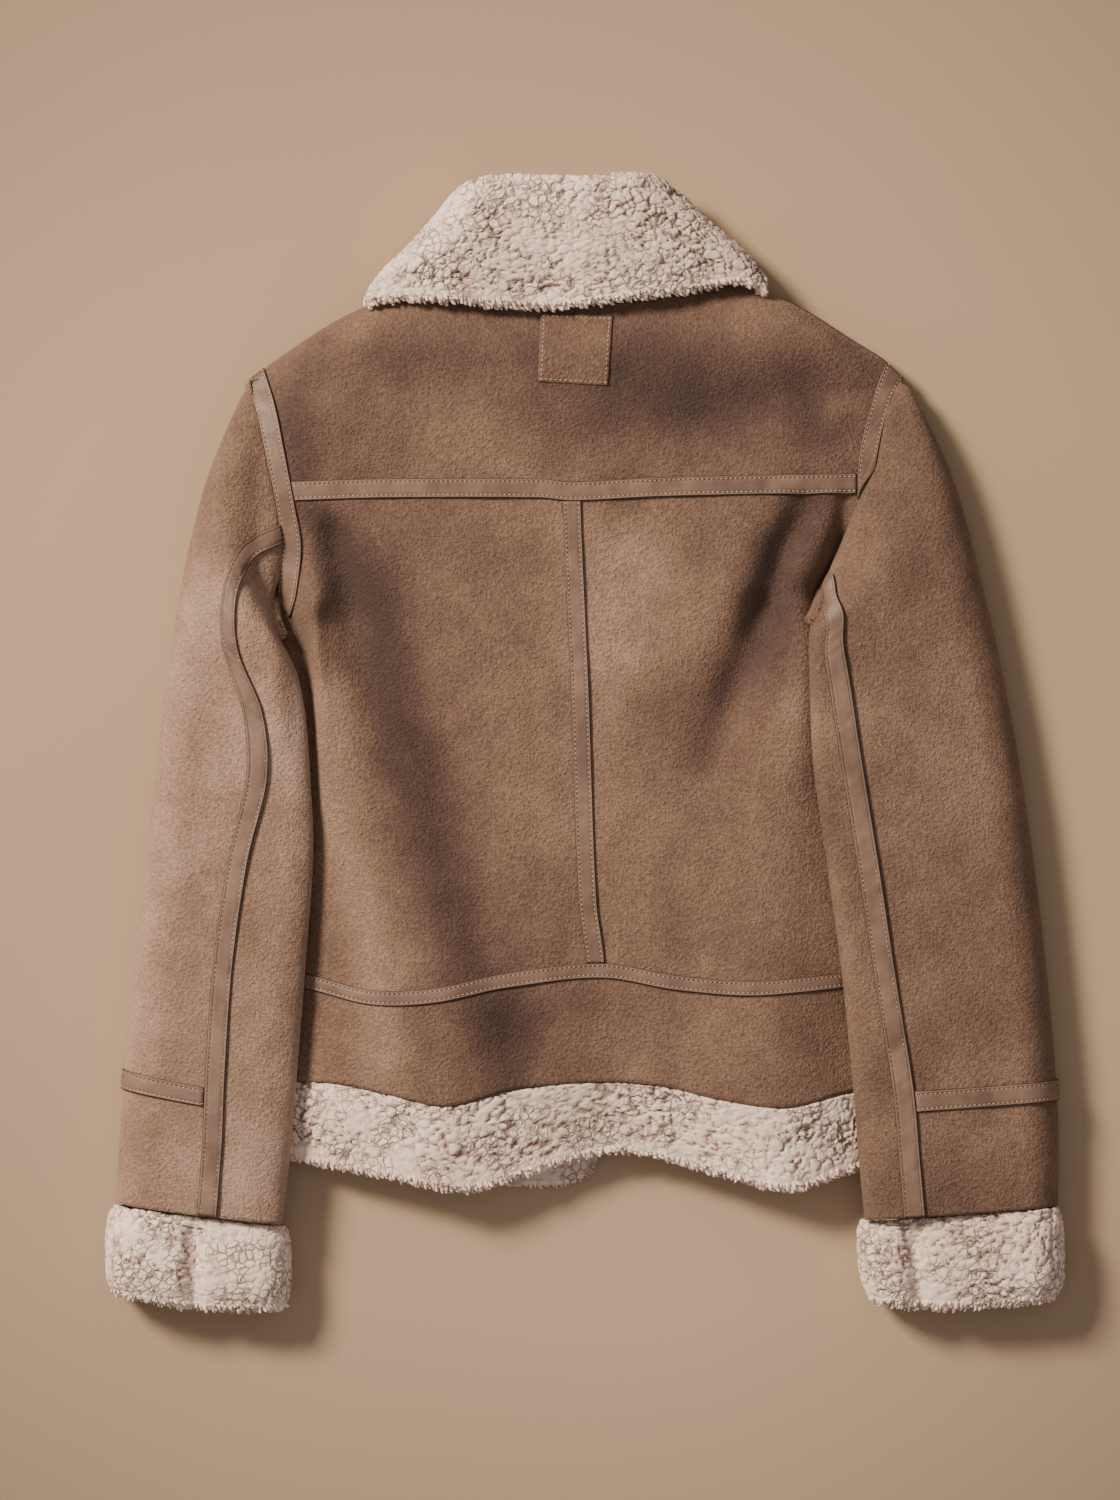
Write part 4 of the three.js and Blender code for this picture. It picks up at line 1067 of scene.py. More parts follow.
print("the collar is", collar_right(300) - collar_left(300), "mm wide at its lower edge")

# %% Fall and top of the collar
PILE_FINE = 1.15
OVERLAP = 0.6  # the pile of both parts meets across the seam


# Painted shade: the collar's pile is painted darker towards the right.
def collar_painted_shade(x):
    return 0.2 * smooth(x, -20, 40)


pieces["collar_fall"] = shell("collar_fall_fleece",
                              collar_surface(collar_low, shifted(collar_seam, OVERLAP)),
                              fine(-1, 1, 275, PILE_FINE), fine(0, 1, 46, PILE_FINE), FLEECE,
                              relief=fleece_relief(5.0, 1.2, (1.1, 0.95, 1), 91,
                                                   collar_painted_shade))
pieces["collar_top"] = shell("collar_top_fleece",
                             collar_surface(shifted(collar_seam, -OVERLAP), collar_top),
                             fine(-1, 1, 245, PILE_FINE), fine(0, 1, 61, PILE_FINE), FLEECE,
                             relief=fleece_relief(1.2, 0.0, (1.15, 0.9, 1), 91,
                                                  collar_painted_shade))

# %% Stand and leaves of the collar


def stand(s, t):
    x = lerp(-70, 48, s)
    y = lerp(top_edge(x) + 1, collar_top(x) - 12, t)
    return x, y, lerp(27.5, 33.5, smooth(y, 306, 340))


pieces["collar_stand"] = shell("collar_stand_suede", stand, fine(0, 1, 118, 4),
                               fine(0, 1, 70, 4), 4)
for name, side in (("left", -1), ("right", 1)):
    edge = collar_left if side < 0 else collar_right

    def leaf(s, t, side=side, edge=edge):
        x, y = np.full(np.shape(s), side * 50.0), np.full(np.shape(s), 340.0)
        for _ in range(SETTLE):
            low = lerp(front_top(x) + 5, top_edge(x) + 9, smooth(np.abs(x - NECK), 66, 84))
            y = lerp(low, collar_top(x) - 2, t)
            middle = -11 + side * ZIP_GAP
            x = lerp(middle, edge(y), np.sin(np.clip(s * side, 0, 1) * np.pi / 2))
        away = np.abs(edge(y) - x) * 0.75
        return x, y, lerp(17, 0, climb(away, 13, 1)) * (1 - HALF / 17)

    run = fine(min(side, 0), max(side, 0), 140, 2)[::-1]
    pieces[f"collar_leaf_{name}"] = shell(f"collar_leaf_{name}_fleece", leaf, run,
                                          fine(0, 1, 80, 2), FLEECE,
                                          relief=fleece_relief(2, 0.0, seed=101))

# %% [markdown]
# ## The zip's tape
# A woven tape lies under the back, between the fronts. The metal chain and slider on it are
# hidden and small, so the plain solids of the frame stand for them, in brass.

# %% The zip's tape
ZIP_TOP, ZIP_BOTTOM = 256, -270


def tape_surface(s, t):
    y = lerp(ZIP_BOTTOM, ZIP_TOP, t)
    return centre_back(y) + s * 14, y, lerp(HEM, SUEDE, smooth(y, -224, -209)) + SEAM


pieces["zip_tape"] = shell("zip_tape_woven", tape_surface, fine(1, -1, 28, 2),
                           fine(0, 1, 544, 4), 0.8)
print("pieces:", len(pieces) + len(leather))

# %% [markdown]
# ## Colours and one helper for nodes
# Colours are picked as sRGB hex values, the way a maker would match a swatch, and turned to
# the linear values that a renderer adds up. One helper adds a node with its settings and
# links, so each material below reads as a short recipe.

# %% Colour and node helpers
RAMP, MIX, MATH = "ShaderNodeValToRGB", "ShaderNodeMix", "ShaderNodeMath"
BLEND = {"data_type": "RGBA"}  # a mix of two colours: inputs 0, 6 and 7, output 2


def colour(hex_value):
    """An sRGB swatch such as "#8B6D59" as linear red, green, blue and alpha."""
    parts = [int(hex_value[i:i + 2], 16) / 255 for i in (1, 3, 5)]
    linear = [c / 12.92 if c <= 0.04045 else ((c + 0.055) / 1.055) ** 2.4 for c in parts]
    return (*linear, 1.0)


def new_material(name):
    material = bpy.data.materials.new(name)
    material.use_nodes = True
    nodes = material.node_tree.nodes
    return material, nodes["Principled BSDF"]


def set_stops(elements, stops):
    """Colours (hex) or greys (0 to 1) along a colour ramp."""
    while len(elements) < len(stops):
        elements.new(0.5)
    for element, (place, shade) in zip(elements, stops):
        element.position = place
        element.color = colour(shade) if isinstance(shade, str) else (shade, shade, shade, 1)


def add(material, kind, settings=None, **links):
    """Add a node; links name its inputs (_2 is the third), as a value or a socket to join."""
    node = material.node_tree.nodes.new(kind)
    for key, value in (settings or {}).items():
        if key == "stops":
            set_stops(node.color_ramp.elements, value)
        else:
            setattr(node, key, value)
    for key, value in links.items():
        socket = node.inputs[int(key[1:]) if key[0] == "_" else key.replace("_", " ")]
        if isinstance(value, bpy.types.NodeSocket):
            material.node_tree.links.new(value, socket)
        else:
            socket.default_value = value
    return node


print("a swatch in linear values:", [round(part, 3) for part in colour("#8B6D59")])

# %% [markdown]
# ## Patterns, and height from patterns
# All patterns are 3-D and read the piece's own coordinates, so they run on from one panel
# to the next as if cut from one skin. Their sizes are given in millimetres.

# %% Patterns and bump


def blotches(material, size_mm, detail=3.0, roughness=0.5, stretch=(1, 1, 1), seed=0.0):
    """Soft 3-D noise whose blotches are about size_mm across."""
    place = add(material, "ShaderNodeTexCoord").outputs["Object"]
    mapped = add(material, "ShaderNodeMapping", Vector=place, Location=(seed, seed * 0.7, 0.0),
                 Scale=tuple(1 / (s * size_mm * MM) for s in stretch)).outputs["Vector"]
    return add(material, "ShaderNodeTexNoise", Vector=mapped, Scale=1.0, Detail=detail,
               Roughness=roughness).outputs["Fac"]


def pebbles(material, size_mm, feature="DISTANCE_TO_EDGE", vector=None):
    """Cells about size_mm across; the value is how far it is to the nearest cell's edge."""
    place = vector or add(material, "ShaderNodeTexCoord").outputs["Object"]
    mapped = add(material, "ShaderNodeMapping", Vector=place,
                 Scale=(1 / (size_mm * MM),) * 3).outputs["Vector"]
    return add(material, "ShaderNodeTexVoronoi", {"feature": feature}, Vector=mapped,
               Scale=1.0).outputs["Distance"]


def raise_relief(material, shader, layers):
    """Stack height layers of (socket, height in mm) into the shader's normal."""
    normal = None
    for height, depth_mm in layers:
        node = add(material, "ShaderNodeBump", Height=height, Strength=1.0, Distance=depth_mm * MM)
        if normal is not None:
            material.node_tree.links.new(normal, node.inputs["Normal"])
        normal = node.outputs["Normal"]
    material.node_tree.links.new(normal, shader.inputs["Normal"])


def join(material, output, shader, name):
    material.node_tree.links.new(output, shader.inputs[name])


def tell(material):
    print(material.name, "has", len(material.node_tree.nodes), "nodes")


# %% [markdown]
# ## Napped faux suede
# A polyester knit, sanded to a nap and embossed with a fine pebble grain. Where the nap is
# brushed one way it looks darker, in clouds several centimetres across and in short
# strokes; the grain gives a shimmer about a millimetre wide. It has no gloss to speak of,
# only a faint sheen where it turns away.

# %% Suede material
suede, shader = new_material("napped_faux_suede")
PEBBLE = 2.3  # mm; drawn about twice as coarse as the real grain, so that it shows
# Painted shade and light, partly nap: the stored tone darkens the lee of folds and lightens their
# ridges.
brushed_and_shaded = add(suede, "ShaderNodeAttribute", {"attribute_name": "nap"}).outputs["Fac"]
cloud = blotches(suede, 80, 4.0, 0.55)
stroke = blotches(suede, 24, 5.0, 0.65, (1.0, 1.6, 1.0), 3.0)
speck = blotches(suede, PEBBLE, 3.0, 0.65)
tone = add(suede, MATH, {"operation": "MULTIPLY_ADD"}, _0=brushed_and_shaded, _1=0.3, _2=-0.3).outputs[0]
for pattern, share in ((cloud, 0.55), (stroke, 0.4), (speck, 0.65)):
    part = add(suede, MATH, {"operation": "MULTIPLY"}, _0=pattern, _1=share).outputs[0]
    tone = add(suede, MATH, {"operation": "ADD"}, _0=tone, _1=part).outputs[0]
nap = add(suede, RAMP, {"stops": ((0.05, "#412F27"), (0.3, "#584136"), (0.5, "#705543"),
                                  (0.72, "#8B6D59"), (0.95, "#A98B77"))}, Fac=tone).outputs[0]
join(suede, nap, shader, "Base Color")
shader.inputs["Roughness"].default_value = 0.82
shader.inputs["Specular IOR Level"].default_value = 0.28
shader.inputs["Sheen Weight"].default_value = 0.22
shader.inputs["Sheen Roughness"].default_value = 0.45
shader.inputs["Sheen Tint"].default_value = colour("#E2C4A8")
raise_relief(suede, shader, [(speck, 1.7), (pebbles(suede, 2.2), 0.5)])
tell(suede)

# %% [markdown]
# ## Smooth faux leather
# Polyurethane on a thin knit: an even satin skin, with a painted highlight along the folded
# edges. The edge distance stored on each strip places that highlight, and painted shade at the very
# edge and in the stitches' groove.

# %% Leather material
satin, shader = new_material("satin_faux_leather")
off = add(satin, "ShaderNodeAttribute", {"attribute_name": "off"}).outputs["Fac"]
off_mm = add(satin, MATH, {"operation": "MULTIPLY"}, _0=off, _1=1 / MM).outputs[0]
cloudy = add(satin, RAMP, {"stops": ((0.35, 0.0), (0.65, 1.0))},
             Fac=blotches(satin, 26, 3.0)).outputs[0]
skin = add(satin, MIX, BLEND, _0=cloudy, _6=colour("#664E3F"), _7=colour("#7E6452")).outputs[2]
# Painted shade at the very edge and in the groove of the stitches, and a painted highlight on the
# fold between.
bead_highlight = add(satin, "ShaderNodeMapRange", Value=off_mm, _1=0.2, _2=1.3, _3=0.55, _4=0.0).outputs[0]
skin = add(satin, MIX, BLEND, _0=bead_highlight, _6=skin, _7=colour("#9A7F6B")).outputs[2]
off_cm = add(satin, MATH, {"operation": "MULTIPLY"}, _0=off_mm, _1=0.1).outputs[0]
edge = add(satin, RAMP, {"stops": ((0.0, 1.0), (0.035, 1.0), (0.06, 0.0), (0.15, 0.0),
                                   (0.18, 0.75), (0.22, 0.75), (0.25, 0.0))}, Fac=off_cm).outputs[0]
skin = add(satin, MIX, BLEND, _0=edge, _6=skin, _7=colour("#3E2A20")).outputs[2]
join(satin, skin, shader, "Base Color")
shader.inputs["Roughness"].default_value = 0.52
shader.inputs["Specular IOR Level"].default_value = 0.35
raise_relief(satin, shader, [(blotches(satin, 5.5, 2.0), 0.35), (pebbles(satin, 0.9), 0.05)])
tell(satin)

# %% [markdown]
# ## Sherpa fleece
# Cream polyester pile. Its clumps scatter light, so their tops glow softly, and the cracks
# between them turn a warm brown as light is lost in the pile.

# %% Fleece material
sherpa, shader = new_material("sherpa_fleece")
crack = add(sherpa, "ShaderNodeAttribute", {"attribute_name": "crack"}).outputs["Fac"]
cloudy = add(sherpa, RAMP, {"stops": ((0.35, 0.0), (0.65, 1.0))},
             Fac=blotches(sherpa, 60, 2.0)).outputs[0]
tint = add(sherpa, MIX, BLEND, _0=cloudy, _6=colour("#E6CAB6"), _7=colour("#F6DECB")).outputs[2]
# Painted shade: the pile is darker the deeper its crack.
deep = add(sherpa, RAMP, {"stops": ((0.15, 0.0), (1.0, 0.85))}, Fac=crack).outputs[0]
tint = add(sherpa, MIX, BLEND, _0=deep, _6=tint, _7=colour("#7E5F4E")).outputs[2]
# Fine cracks run between cells 6 mm across, pushed up to 5 mm aside by a noise of that size.
DRIFTS = 170.0  # to the metre
place = add(sherpa, "ShaderNodeTexCoord").outputs["Object"]
drift = add(sherpa, "ShaderNodeTexNoise", Vector=place, Scale=DRIFTS, Detail=2.0).outputs["Color"]
bent = add(sherpa, "ShaderNodeVectorMath", {"operation": "MULTIPLY_ADD"}, _0=drift,
           _1=(5 * MM, 5 * MM, 5 * MM), _2=place).outputs[0]
line = add(sherpa, RAMP, {"stops": ((0.0, 0.9), (0.14, 0.0))},
           Fac=pebbles(sherpa, 6.0, vector=bent)).outputs[0]
faded = add(sherpa, RAMP, {"stops": ((0.4, 0.08), (0.6, 0.9))},
            Fac=blotches(sherpa, 26, 2.0, seed=5.0)).outputs[0]
line = add(sherpa, MATH, {"operation": "MULTIPLY"}, _0=line, _1=faded).outputs[0]
# Painted shade along the fine cracks.
tint = add(sherpa, MIX, BLEND, _0=line, _6=tint, _7=colour("#8C6B58")).outputs[2]
join(sherpa, tint, shader, "Base Color")
shader.inputs["Roughness"].default_value = 0.95
shader.inputs["Specular IOR Level"].default_value = 0.15
shader.inputs["Sheen Weight"].default_value = 0.15
shader.inputs["Sheen Roughness"].default_value = 0.6
shader.inputs["Subsurface Weight"].default_value = 0.12
shader.inputs["Subsurface Radius"].default_value = (4 * MM, 2.5 * MM, 1.8 * MM)
raised = add(sherpa, MATH, {"operation": "SUBTRACT"}, _0=1.0, _1=line).outputs[0]
raise_relief(sherpa, shader, [(raised, 0.9), (blotches(sherpa, 2.4, 3.0, 0.6), 0.5),
                              (blotches(sherpa, 0.9, 2.0, 0.6), 0.2)])
tell(sherpa)

# %% [markdown]
# ## Thread, woven tape and aged brass
# The thread is spun polyester, a little lighter than the leather and without gloss. The
# zip's tape is woven in a fine rib. The teeth and the slider are cast brass, dulled by
# handling: still a metal, but rougher where it has gone dark.

# %% Thread, tape and metal materials
thread, shader = new_material("polyester_thread")
shade = add(thread, MIX, BLEND, _0=blotches(thread, 6, 1.0), _6=colour("#B39579"),
            _7=colour("#D0B498")).outputs[2]
join(thread, shade, shader, "Base Color")
shader.inputs["Roughness"].default_value = 0.6

woven, shader = new_material("woven_zip_tape")
RIBS = 250.0  # bands in the wave's own units; about one rib a millimetre
rib = add(woven, "ShaderNodeTexWave", {"wave_type": "BANDS", "bands_direction": "DIAGONAL"},
          Vector=add(woven, "ShaderNodeTexCoord").outputs["Object"], Scale=RIBS).outputs["Fac"]
shade = add(woven, MIX, BLEND, _0=rib, _6=colour("#4C3A2E"), _7=colour("#665041")).outputs[2]
join(woven, shade, shader, "Base Color")
shader.inputs["Roughness"].default_value = 0.9
raise_relief(woven, shader, [(rib, 0.15)])

brass, shader = new_material("aged_brass")
patina = blotches(brass, 4, 4.0, 0.6)
shade = add(brass, MIX, BLEND, _0=patina, _6=colour("#8C744A"), _7=colour("#B79A66")).outputs[2]
join(brass, shade, shader, "Base Color")
join(brass, add(brass, "ShaderNodeMapRange", Value=patina, _3=0.25, _4=0.5).outputs[0],
     shader, "Roughness")
shader.inputs["Metallic"].default_value = 1.0

LOOKS = {"suede": suede, "leather": satin, "fleece": sherpa, "woven": woven}
for piece in [*pieces.values(), *leather.values()]:
    piece.data.materials.append(LOOKS[piece.name.rsplit("_", 1)[1]])
for node in ("zip_chain", "zip_slider"):
    for place in bpy.data.objects[node].material_slots:
        place.material = brass

# %% [markdown]
# ## Stitches
# A strip is held by two rows of lockstitch, about 3 mm a stitch and 2 mm in from each edge.
# Hundreds of equal small things along a path are what Geometry Nodes are for: the tree
# takes a path, walks it in even steps, and sets one thread loop at each step, turned along
# the path. Stitches are drawn a little thicker than real thread, so that they show.

# %% Paths in a mesh


def path_mesh(name, lines):
    """Open paths in one mesh; each line is (points, outward directions), both (n, 3)."""
    points = np.concatenate([line[0] for line in lines]) * MM
    ups = np.concatenate([line[1] for line in lines])
    edges, start = [], 0
    for line, _ in lines:
        edges += [(start + i, start + i + 1) for i in range(len(line) - 1)]
        start += len(line)
    mesh = bpy.data.meshes.new(name)
    mesh.from_pydata(points.tolist(), edges, [])
    attribute = mesh.attributes.new("up", "FLOAT_VECTOR", "POINT")
    attribute.data.foreach_set("vector", ups.astype(float).ravel())
    path = bpy.data.objects.new(name, mesh)
    bpy.context.scene.collection.objects.link(path)
    return path


print("strips to stitch:", len(SEWN))

# %% A tree and its nodes


def node_tree(name, inputs):
    """An empty Geometry Nodes tree with named inputs."""
    tree = bpy.data.node_groups.new(name, "GeometryNodeTree")
    tree.interface.new_socket("Geometry", in_out="OUTPUT", socket_type="NodeSocketGeometry")
    tree.interface.new_socket("Geometry", in_out="INPUT", socket_type="NodeSocketGeometry")
    for label, kind in inputs:
        tree.interface.new_socket(label, in_out="INPUT", socket_type=f"NodeSocket{kind}")
    return tree


def grow(tree, kind, settings=None, links=()):
    """Add a node to a Geometry Nodes tree; links are (input, value or socket)."""
    node = tree.nodes.new(kind)
    for key, value in (settings or {}).items():
        setattr(node, key, value)
    for place, value in links:
        socket = node.inputs[place]
        if isinstance(value, bpy.types.NodeSocket):
            tree.links.new(value, socket)
        else:
            socket.default_value = value
    return node


# %% One stitch, and one lock of pile


def thread_loop(tree):
    """A loop of thread: a round bead, drawn out to its length when it is laid."""
    return grow(tree, "GeometryNodeMeshUVSphere",
                links=[("Segments", 6), ("Rings", 4), ("Radius", 0.5)]).outputs["Mesh"]


def bent_cone(tree):
    """A lock of combed pile: a narrow blunt cone, bent sideways."""
    form = grow(tree, "GeometryNodeMeshCone", {"fill_type": "NGON"},
                [("Vertices", 6), ("Side Segments", 4), ("Radius Top", 0.24),
                 ("Radius Bottom", 0.5), ("Depth", 1.0)]).outputs["Mesh"]
    place = grow(tree, "GeometryNodeInputPosition").outputs[0]
    parts = grow(tree, "ShaderNodeSeparateXYZ", links=[(0, place)]).outputs
    belly = grow(tree, "ShaderNodeMath", {"operation": "MULTIPLY"},
                 [(0, parts["Z"]), (1, parts["Z"])]).outputs[0]
    bent = grow(tree, "ShaderNodeMath", {"operation": "MULTIPLY"},
                [(0, belly), (1, BEND)]).outputs[0]
    offset = grow(tree, "ShaderNodeCombineXYZ", links=[(0, bent)]).outputs[0]
    return grow(tree, "GeometryNodeSetPosition",
                links=[("Geometry", form), ("Offset", offset)]).outputs[0]


BEND, SMALLEST, LARGEST = 0.45, 0.6, 1.35
LEAN = (0.6, 0.6, 0.5)
print("a lock is", SMALLEST, "to", LARGEST, "of its named size")

# %% The tree that lays them along a path


def along_path(name, tufted):
    """A tree that sets a stitch, or a lock of pile, at even steps along its paths."""
    tree = node_tree(name, [("Pitch", "Float"), ("Length", "Float"), ("Width", "Float"),
                            ("Seed", "Int"), ("Material", "Material")])
    given = grow(tree, "NodeGroupInput").outputs
    curve = grow(tree, "GeometryNodeMeshToCurve", links=[(0, given["Geometry"])]).outputs[0]
    walked = grow(tree, "GeometryNodeResampleCurve", {"mode": "LENGTH"},
                  [("Curve", curve), ("Length", given["Pitch"])]).outputs[0]
    tangent = grow(tree, "GeometryNodeInputTangent").outputs[0]
    up = grow(tree, "GeometryNodeInputNamedAttribute", {"data_type": "FLOAT_VECTOR"},
              [("Name", "up")]).outputs["Attribute"]
    if tufted:
        lean = grow(tree, "FunctionNodeRandomValue", {"data_type": "FLOAT_VECTOR"},
                    [(0, tuple(-part for part in LEAN)), (1, LEAN), ("Seed", given["Seed"])])
        up = grow(tree, "ShaderNodeVectorMath", {"operation": "ADD"},
                  [(0, up), (1, lean.outputs[0])]).outputs[0]
    turn = grow(tree, "FunctionNodeAxesToRotation", {"primary_axis": "Z", "secondary_axis": "X"},
                [(0, up), (1, tangent)]).outputs[0]
    size = grow(tree, "ShaderNodeCombineXYZ")
    if tufted:
        form = bent_cone(tree)
        vary = grow(tree, "FunctionNodeRandomValue", {"data_type": "FLOAT"},
                    [(2, SMALLEST), (3, LARGEST), ("Seed", given["Seed"])]).outputs[1]
        for place, value in ((0, given["Width"]), (1, given["Width"]), (2, given["Length"])):
            scaled = grow(tree, "ShaderNodeMath", {"operation": "MULTIPLY"},
                          [(0, value), (1, vary)]).outputs[0]
            tree.links.new(scaled, size.inputs[place])
    else:
        form = thread_loop(tree)
        for place, value in ((0, given["Length"]), (1, given["Width"]), (2, given["Width"])):
            tree.links.new(value, size.inputs[place])
    form = grow(tree, "GeometryNodeSetShadeSmooth", links=[("Geometry", form)]).outputs[0]
    laid = grow(tree, "GeometryNodeInstanceOnPoints",
                links=[("Points", walked), ("Instance", form), ("Rotation", turn),
                       ("Scale", size.outputs[0])]).outputs[0]
    real = grow(tree, "GeometryNodeRealizeInstances", links=[("Geometry", laid)]).outputs[0]
    done = grow(tree, "GeometryNodeSetMaterial",
                links=[("Geometry", real), ("Material", given["Material"])]).outputs[0]
    grow(tree, "NodeGroupOutput", links=[(0, done)])
    return tree


# %% From a tree to a plain mesh


def plain(path, tree, **sizes):
    """Run a tree on a path and keep the result as a plain mesh.

    A modifier keeps each input under the socket's identifier, so that is looked up."""
    modifier = path.modifiers.new(tree.name, "NODES")
    modifier.node_group = tree
    for item in tree.interface.items_tree:
        if item.in_out == "INPUT" and item.name in sizes:
            modifier[item.identifier] = sizes[item.name]
    shown = path.evaluated_get(bpy.context.evaluated_depsgraph_get())
    mesh = bpy.data.meshes.new_from_object(shown)
    name = path.name
    bpy.data.objects.remove(path)
    mesh.name = name
    made = bpy.data.objects.new(name, mesh)
    bpy.context.scene.collection.objects.link(made)
    print(name, "faces:", len(mesh.polygons))
    return made


# %% Rows of stitches
STITCH_PITCH, STITCH_LENGTH, STITCH_WIDTH = 3.2, 1.9, 0.7
ENDS = (0.004, 0.996)  # a row stops just short of a strip's ends


def surface_line(surface, s, t, proud):
    """Points along a surface, `proud` above it, with the outward directions."""
    s, t = np.broadcast_arrays(np.asarray(s, float), np.asarray(t, float))
    step = 1e-3

    def at(a, b):
        return np.stack(np.broadcast_arrays(*surface(a, b)), -1)
    normal = np.cross(at(s + step, t) - at(s - step, t), at(s, t + step) - at(s, t - step))
    normal /= np.maximum(np.linalg.norm(normal, axis=-1, keepdims=True), 1e-9)
    normal *= np.where(normal[..., 2:3] < 0, -1, 1)
    return at(s, t) + normal * proud, normal


ON_STRIP = LIFT + TRIM - 0.1
rows = []
for surface, lengthwise, half_width, reach in SEWN:
    count = max(int(reach / 2), 8)
    run = np.linspace(*ENDS, count)
    for share in (STITCH_INSET / (2 * half_width), 1 - STITCH_INSET / (2 * half_width)):
        across = np.full(count, share)
        rows.append(surface_line(surface, across, run, ON_STRIP) if lengthwise
                    else surface_line(surface, run, across, ON_STRIP))
for share in (0.045, 0.955):
    edge = np.linspace(0.04, 0.96, 24)
    rows.append(surface_line(on_back(patch_plan), edge, np.full(24, share), ON_STRIP - 0.1))
    rows.append(surface_line(on_back(patch_plan), np.full(24, share), edge, ON_STRIP - 0.1))
print("rows of stitches:", len(rows))
stitches = plain(path_mesh("lockstitches", rows), along_path("stitches along seams", False),
                 Pitch=STITCH_PITCH * MM, Length=STITCH_LENGTH * MM, Width=STITCH_WIDTH * MM,
                 Seed=1, Material=thread)

# %% [markdown]
# ## Locks of pile at the free edges
# Where the fleece ends, at the collar's fall, the hem and the cuffs, the combed pile hangs
# over in small pointed locks. The same kind of tree sets a bent cone at each step of a few
# paths along those edges, each leaning and sized a little differently.

# %% Rows along the free edges
# Each row gives how far it is into the piece, how far above its surface, and how much the
# locks tilt from "out of the edge" to "up". They all point towards the hem.
COLLAR_ROWS = ((0.03, -4.6, 0.0), (0.045, -2.6, 0.15), (0.09, -1.5, 0.35))
HEM_ROWS = ((0.025, -4.2, 0.0), (0.035, -2.4, 0.15), (0.07, -1.4, 0.35))
FRONT_ROWS = ((0.03, 5.0, 0.0), (0.05, 6.0, 0.2))
CUFF_TOP_ROWS = ((3.85, -4.2, 0.0), (3.75, -2.2, 0.2), (3.6, -1.4, 0.4))
CUFF_UNDER_ROWS = ((3.85, 5.5, 0.0), (3.75, 4.2, 0.0))
TO_HEM = (0, -1, 0)


def edge_rows(surface, ends, at, count):
    """Paths along a free edge between two ends, one path of count points for each row."""
    made = []
    run = np.linspace(ends[0], ends[1], count)
    for depth, above, tilt in at:
        points, normal = surface_line(surface, run, np.full(count, depth), above)
        out = np.array(TO_HEM, float) * (1 - tilt) + normal * tilt
        made.append((points, out / np.linalg.norm(out, axis=-1, keepdims=True)))
    return made


# %% Locks of pile
locks = edge_rows(collar_surface(collar_low, shifted(collar_seam, -HALF)), (-0.99, 0.99),
                  COLLAR_ROWS, 120)
locks += edge_rows(back_surface(0), (-0.97, 0.97), HEM_ROWS, 170)
for side, ends, count in ((-1, (-0.35, -0.01), 40), (1, (0.01, 0.2), 30)):
    locks += edge_rows(front_surface(front_hem, shifted(hem_seam, -HALF), side), ends,
                       FRONT_ROWS, count)
for name in CUFFS:
    for ends, at in (((0.02, 0.48), CUFF_TOP_ROWS), ((0.55, 0.95), CUFF_UNDER_ROWS)):
        locks += edge_rows(cuff_tube(name), ends, at, 90)
print("rows of locks:", len(locks))
tufts = plain(path_mesh("pile_locks", locks), along_path("locks along an edge", True),
              Pitch=1.8 * MM, Length=3.9 * MM, Width=3.1 * MM, Seed=7, Material=sherpa)

# %% [markdown]
# ## The table, the light and the camera
# The jacket lies on a plain tan surface and is seen straight from above. A large soft
# light high at the upper left gives the long soft shadow at its lower right.

# %% Table
bpy.ops.mesh.primitive_plane_add(size=6, location=(0, 0, -0.5 * MM))
table_top = bpy.context.object
table_top.name = "table_top"
board, shader = new_material("painted_board")
cloudy = add(board, RAMP, {"stops": ((0.3, 0.0), (0.7, 1.0))},
             Fac=blotches(board, 900, 2.0)).outputs[0]
paint = add(board, MIX, BLEND, _0=cloudy, _6=colour("#A98F73"), _7=colour("#B2987C")).outputs[2]
# Painted shade: the board is painted darker towards its outside, where the light falls off.
place = add(board, "ShaderNodeTexCoord").outputs["Object"]
reach = add(board, "ShaderNodeVectorMath", {"operation": "LENGTH"}, _0=place).outputs["Value"]
painted_falloff = add(board, RAMP, {"stops": ((0.4, 0.0), (0.68, 1.0))}, Fac=reach).outputs[0]
paint = add(board, MIX, BLEND, _0=painted_falloff, _6=paint, _7=colour("#907A63")).outputs[2]
join(board, paint, shader, "Base Color")
shader.inputs["Roughness"].default_value = 0.95
shader.inputs["Specular IOR Level"].default_value = 0.1
table_top.data.materials.append(board)
tell(board)

# %% Light
world = bpy.data.worlds.new("studio")
bpy.context.scene.world = world
world.use_nodes = True
world.node_tree.nodes["Background"].inputs["Color"].default_value = colour("#F6EFEE")
world.node_tree.nodes["Background"].inputs["Strength"].default_value = 0.37


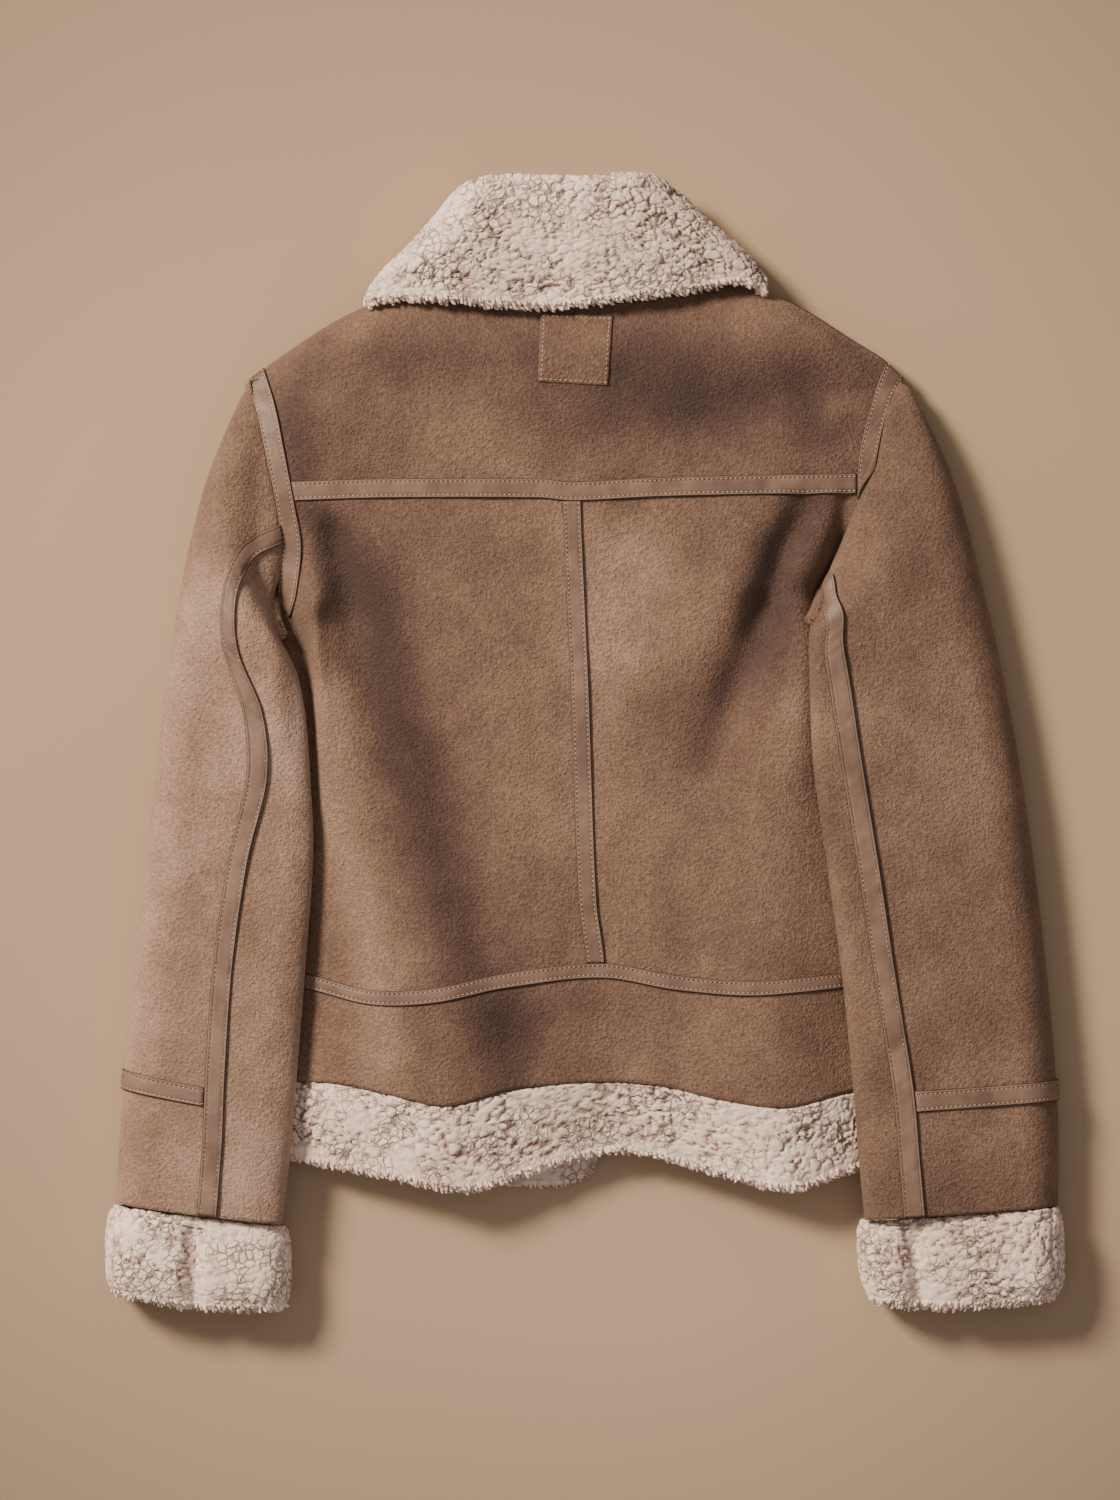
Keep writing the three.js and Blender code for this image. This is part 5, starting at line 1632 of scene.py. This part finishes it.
def soft_light(name, place, size, power, tone):
    lamp = bpy.data.lights.new(name, "AREA")
    lamp.shape = "SQUARE"
    lamp.size = size
    lamp.energy = power
    lamp.color = colour(tone)[:3]
    holder = bpy.data.objects.new(name, lamp)
    holder.location = place
    to_jacket = -np.array(place)
    holder.rotation_euler = (math.acos(-to_jacket[2] / np.linalg.norm(to_jacket)), 0,
                             math.atan2(to_jacket[1], to_jacket[0]) - math.pi / 2)
    bpy.context.scene.collection.objects.link(holder)


soft_light("key", (-3.2, 2.45, 3.2), 1.25, 505, "#FFF4E8")
soft_light("fill", (0.3, -0.2, 2.6), 2.2, 7.0, "#F6F3F4")
print("lights:", len(bpy.data.lights))

# %% Camera
CAMERA_HEIGHT, FOCAL_LENGTH, SENSOR = 4.5, 158.0, 36
camera_data = bpy.data.cameras.new("camera")
camera_data.sensor_width = SENSOR
camera_data.sensor_fit = "VERTICAL"
camera_data.sensor_height = SENSOR
camera_data.lens = FOCAL_LENGTH
camera = bpy.data.objects.new("camera", camera_data)
camera.location = (-0.0177, -0.0034, CAMERA_HEIGHT)
bpy.context.scene.collection.objects.link(camera)
bpy.context.scene.camera = camera
print("the camera sees", round(SENSOR / FOCAL_LENGTH * CAMERA_HEIGHT, 3), "m from top to bottom")

# %% [markdown]
# ## Attaching each piece
# Every piece rides on the jacket's one body and replaces the plain solid it was made on.
# The size of its cut is looked up, no narrower than a strip's, and not used further.

# %% Attaching the pieces
NARROWEST = 10.1  # mm; a strip's cut is taken as no narrower than this


def declare(node, piece):
    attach(piece, "root")
    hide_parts(node)
    wide, long, area = CUTS[piece.name]
    wide, long = max(wide, NARROWEST), max(long, NARROWEST)


for node, piece in pieces.items():
    finish = {"suede": "suede", "fleece": "fleece", "woven": "tape"}[piece.name.rsplit("_", 1)[1]]
    declare(node, piece)
for made, finish in ((stitches, "tape"), (tufts, "fleece")):
    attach(made, "root")
for node, piece in leather.items():
    declare(node, piece)
print("sheets declared:", len(pieces) + len(leather))
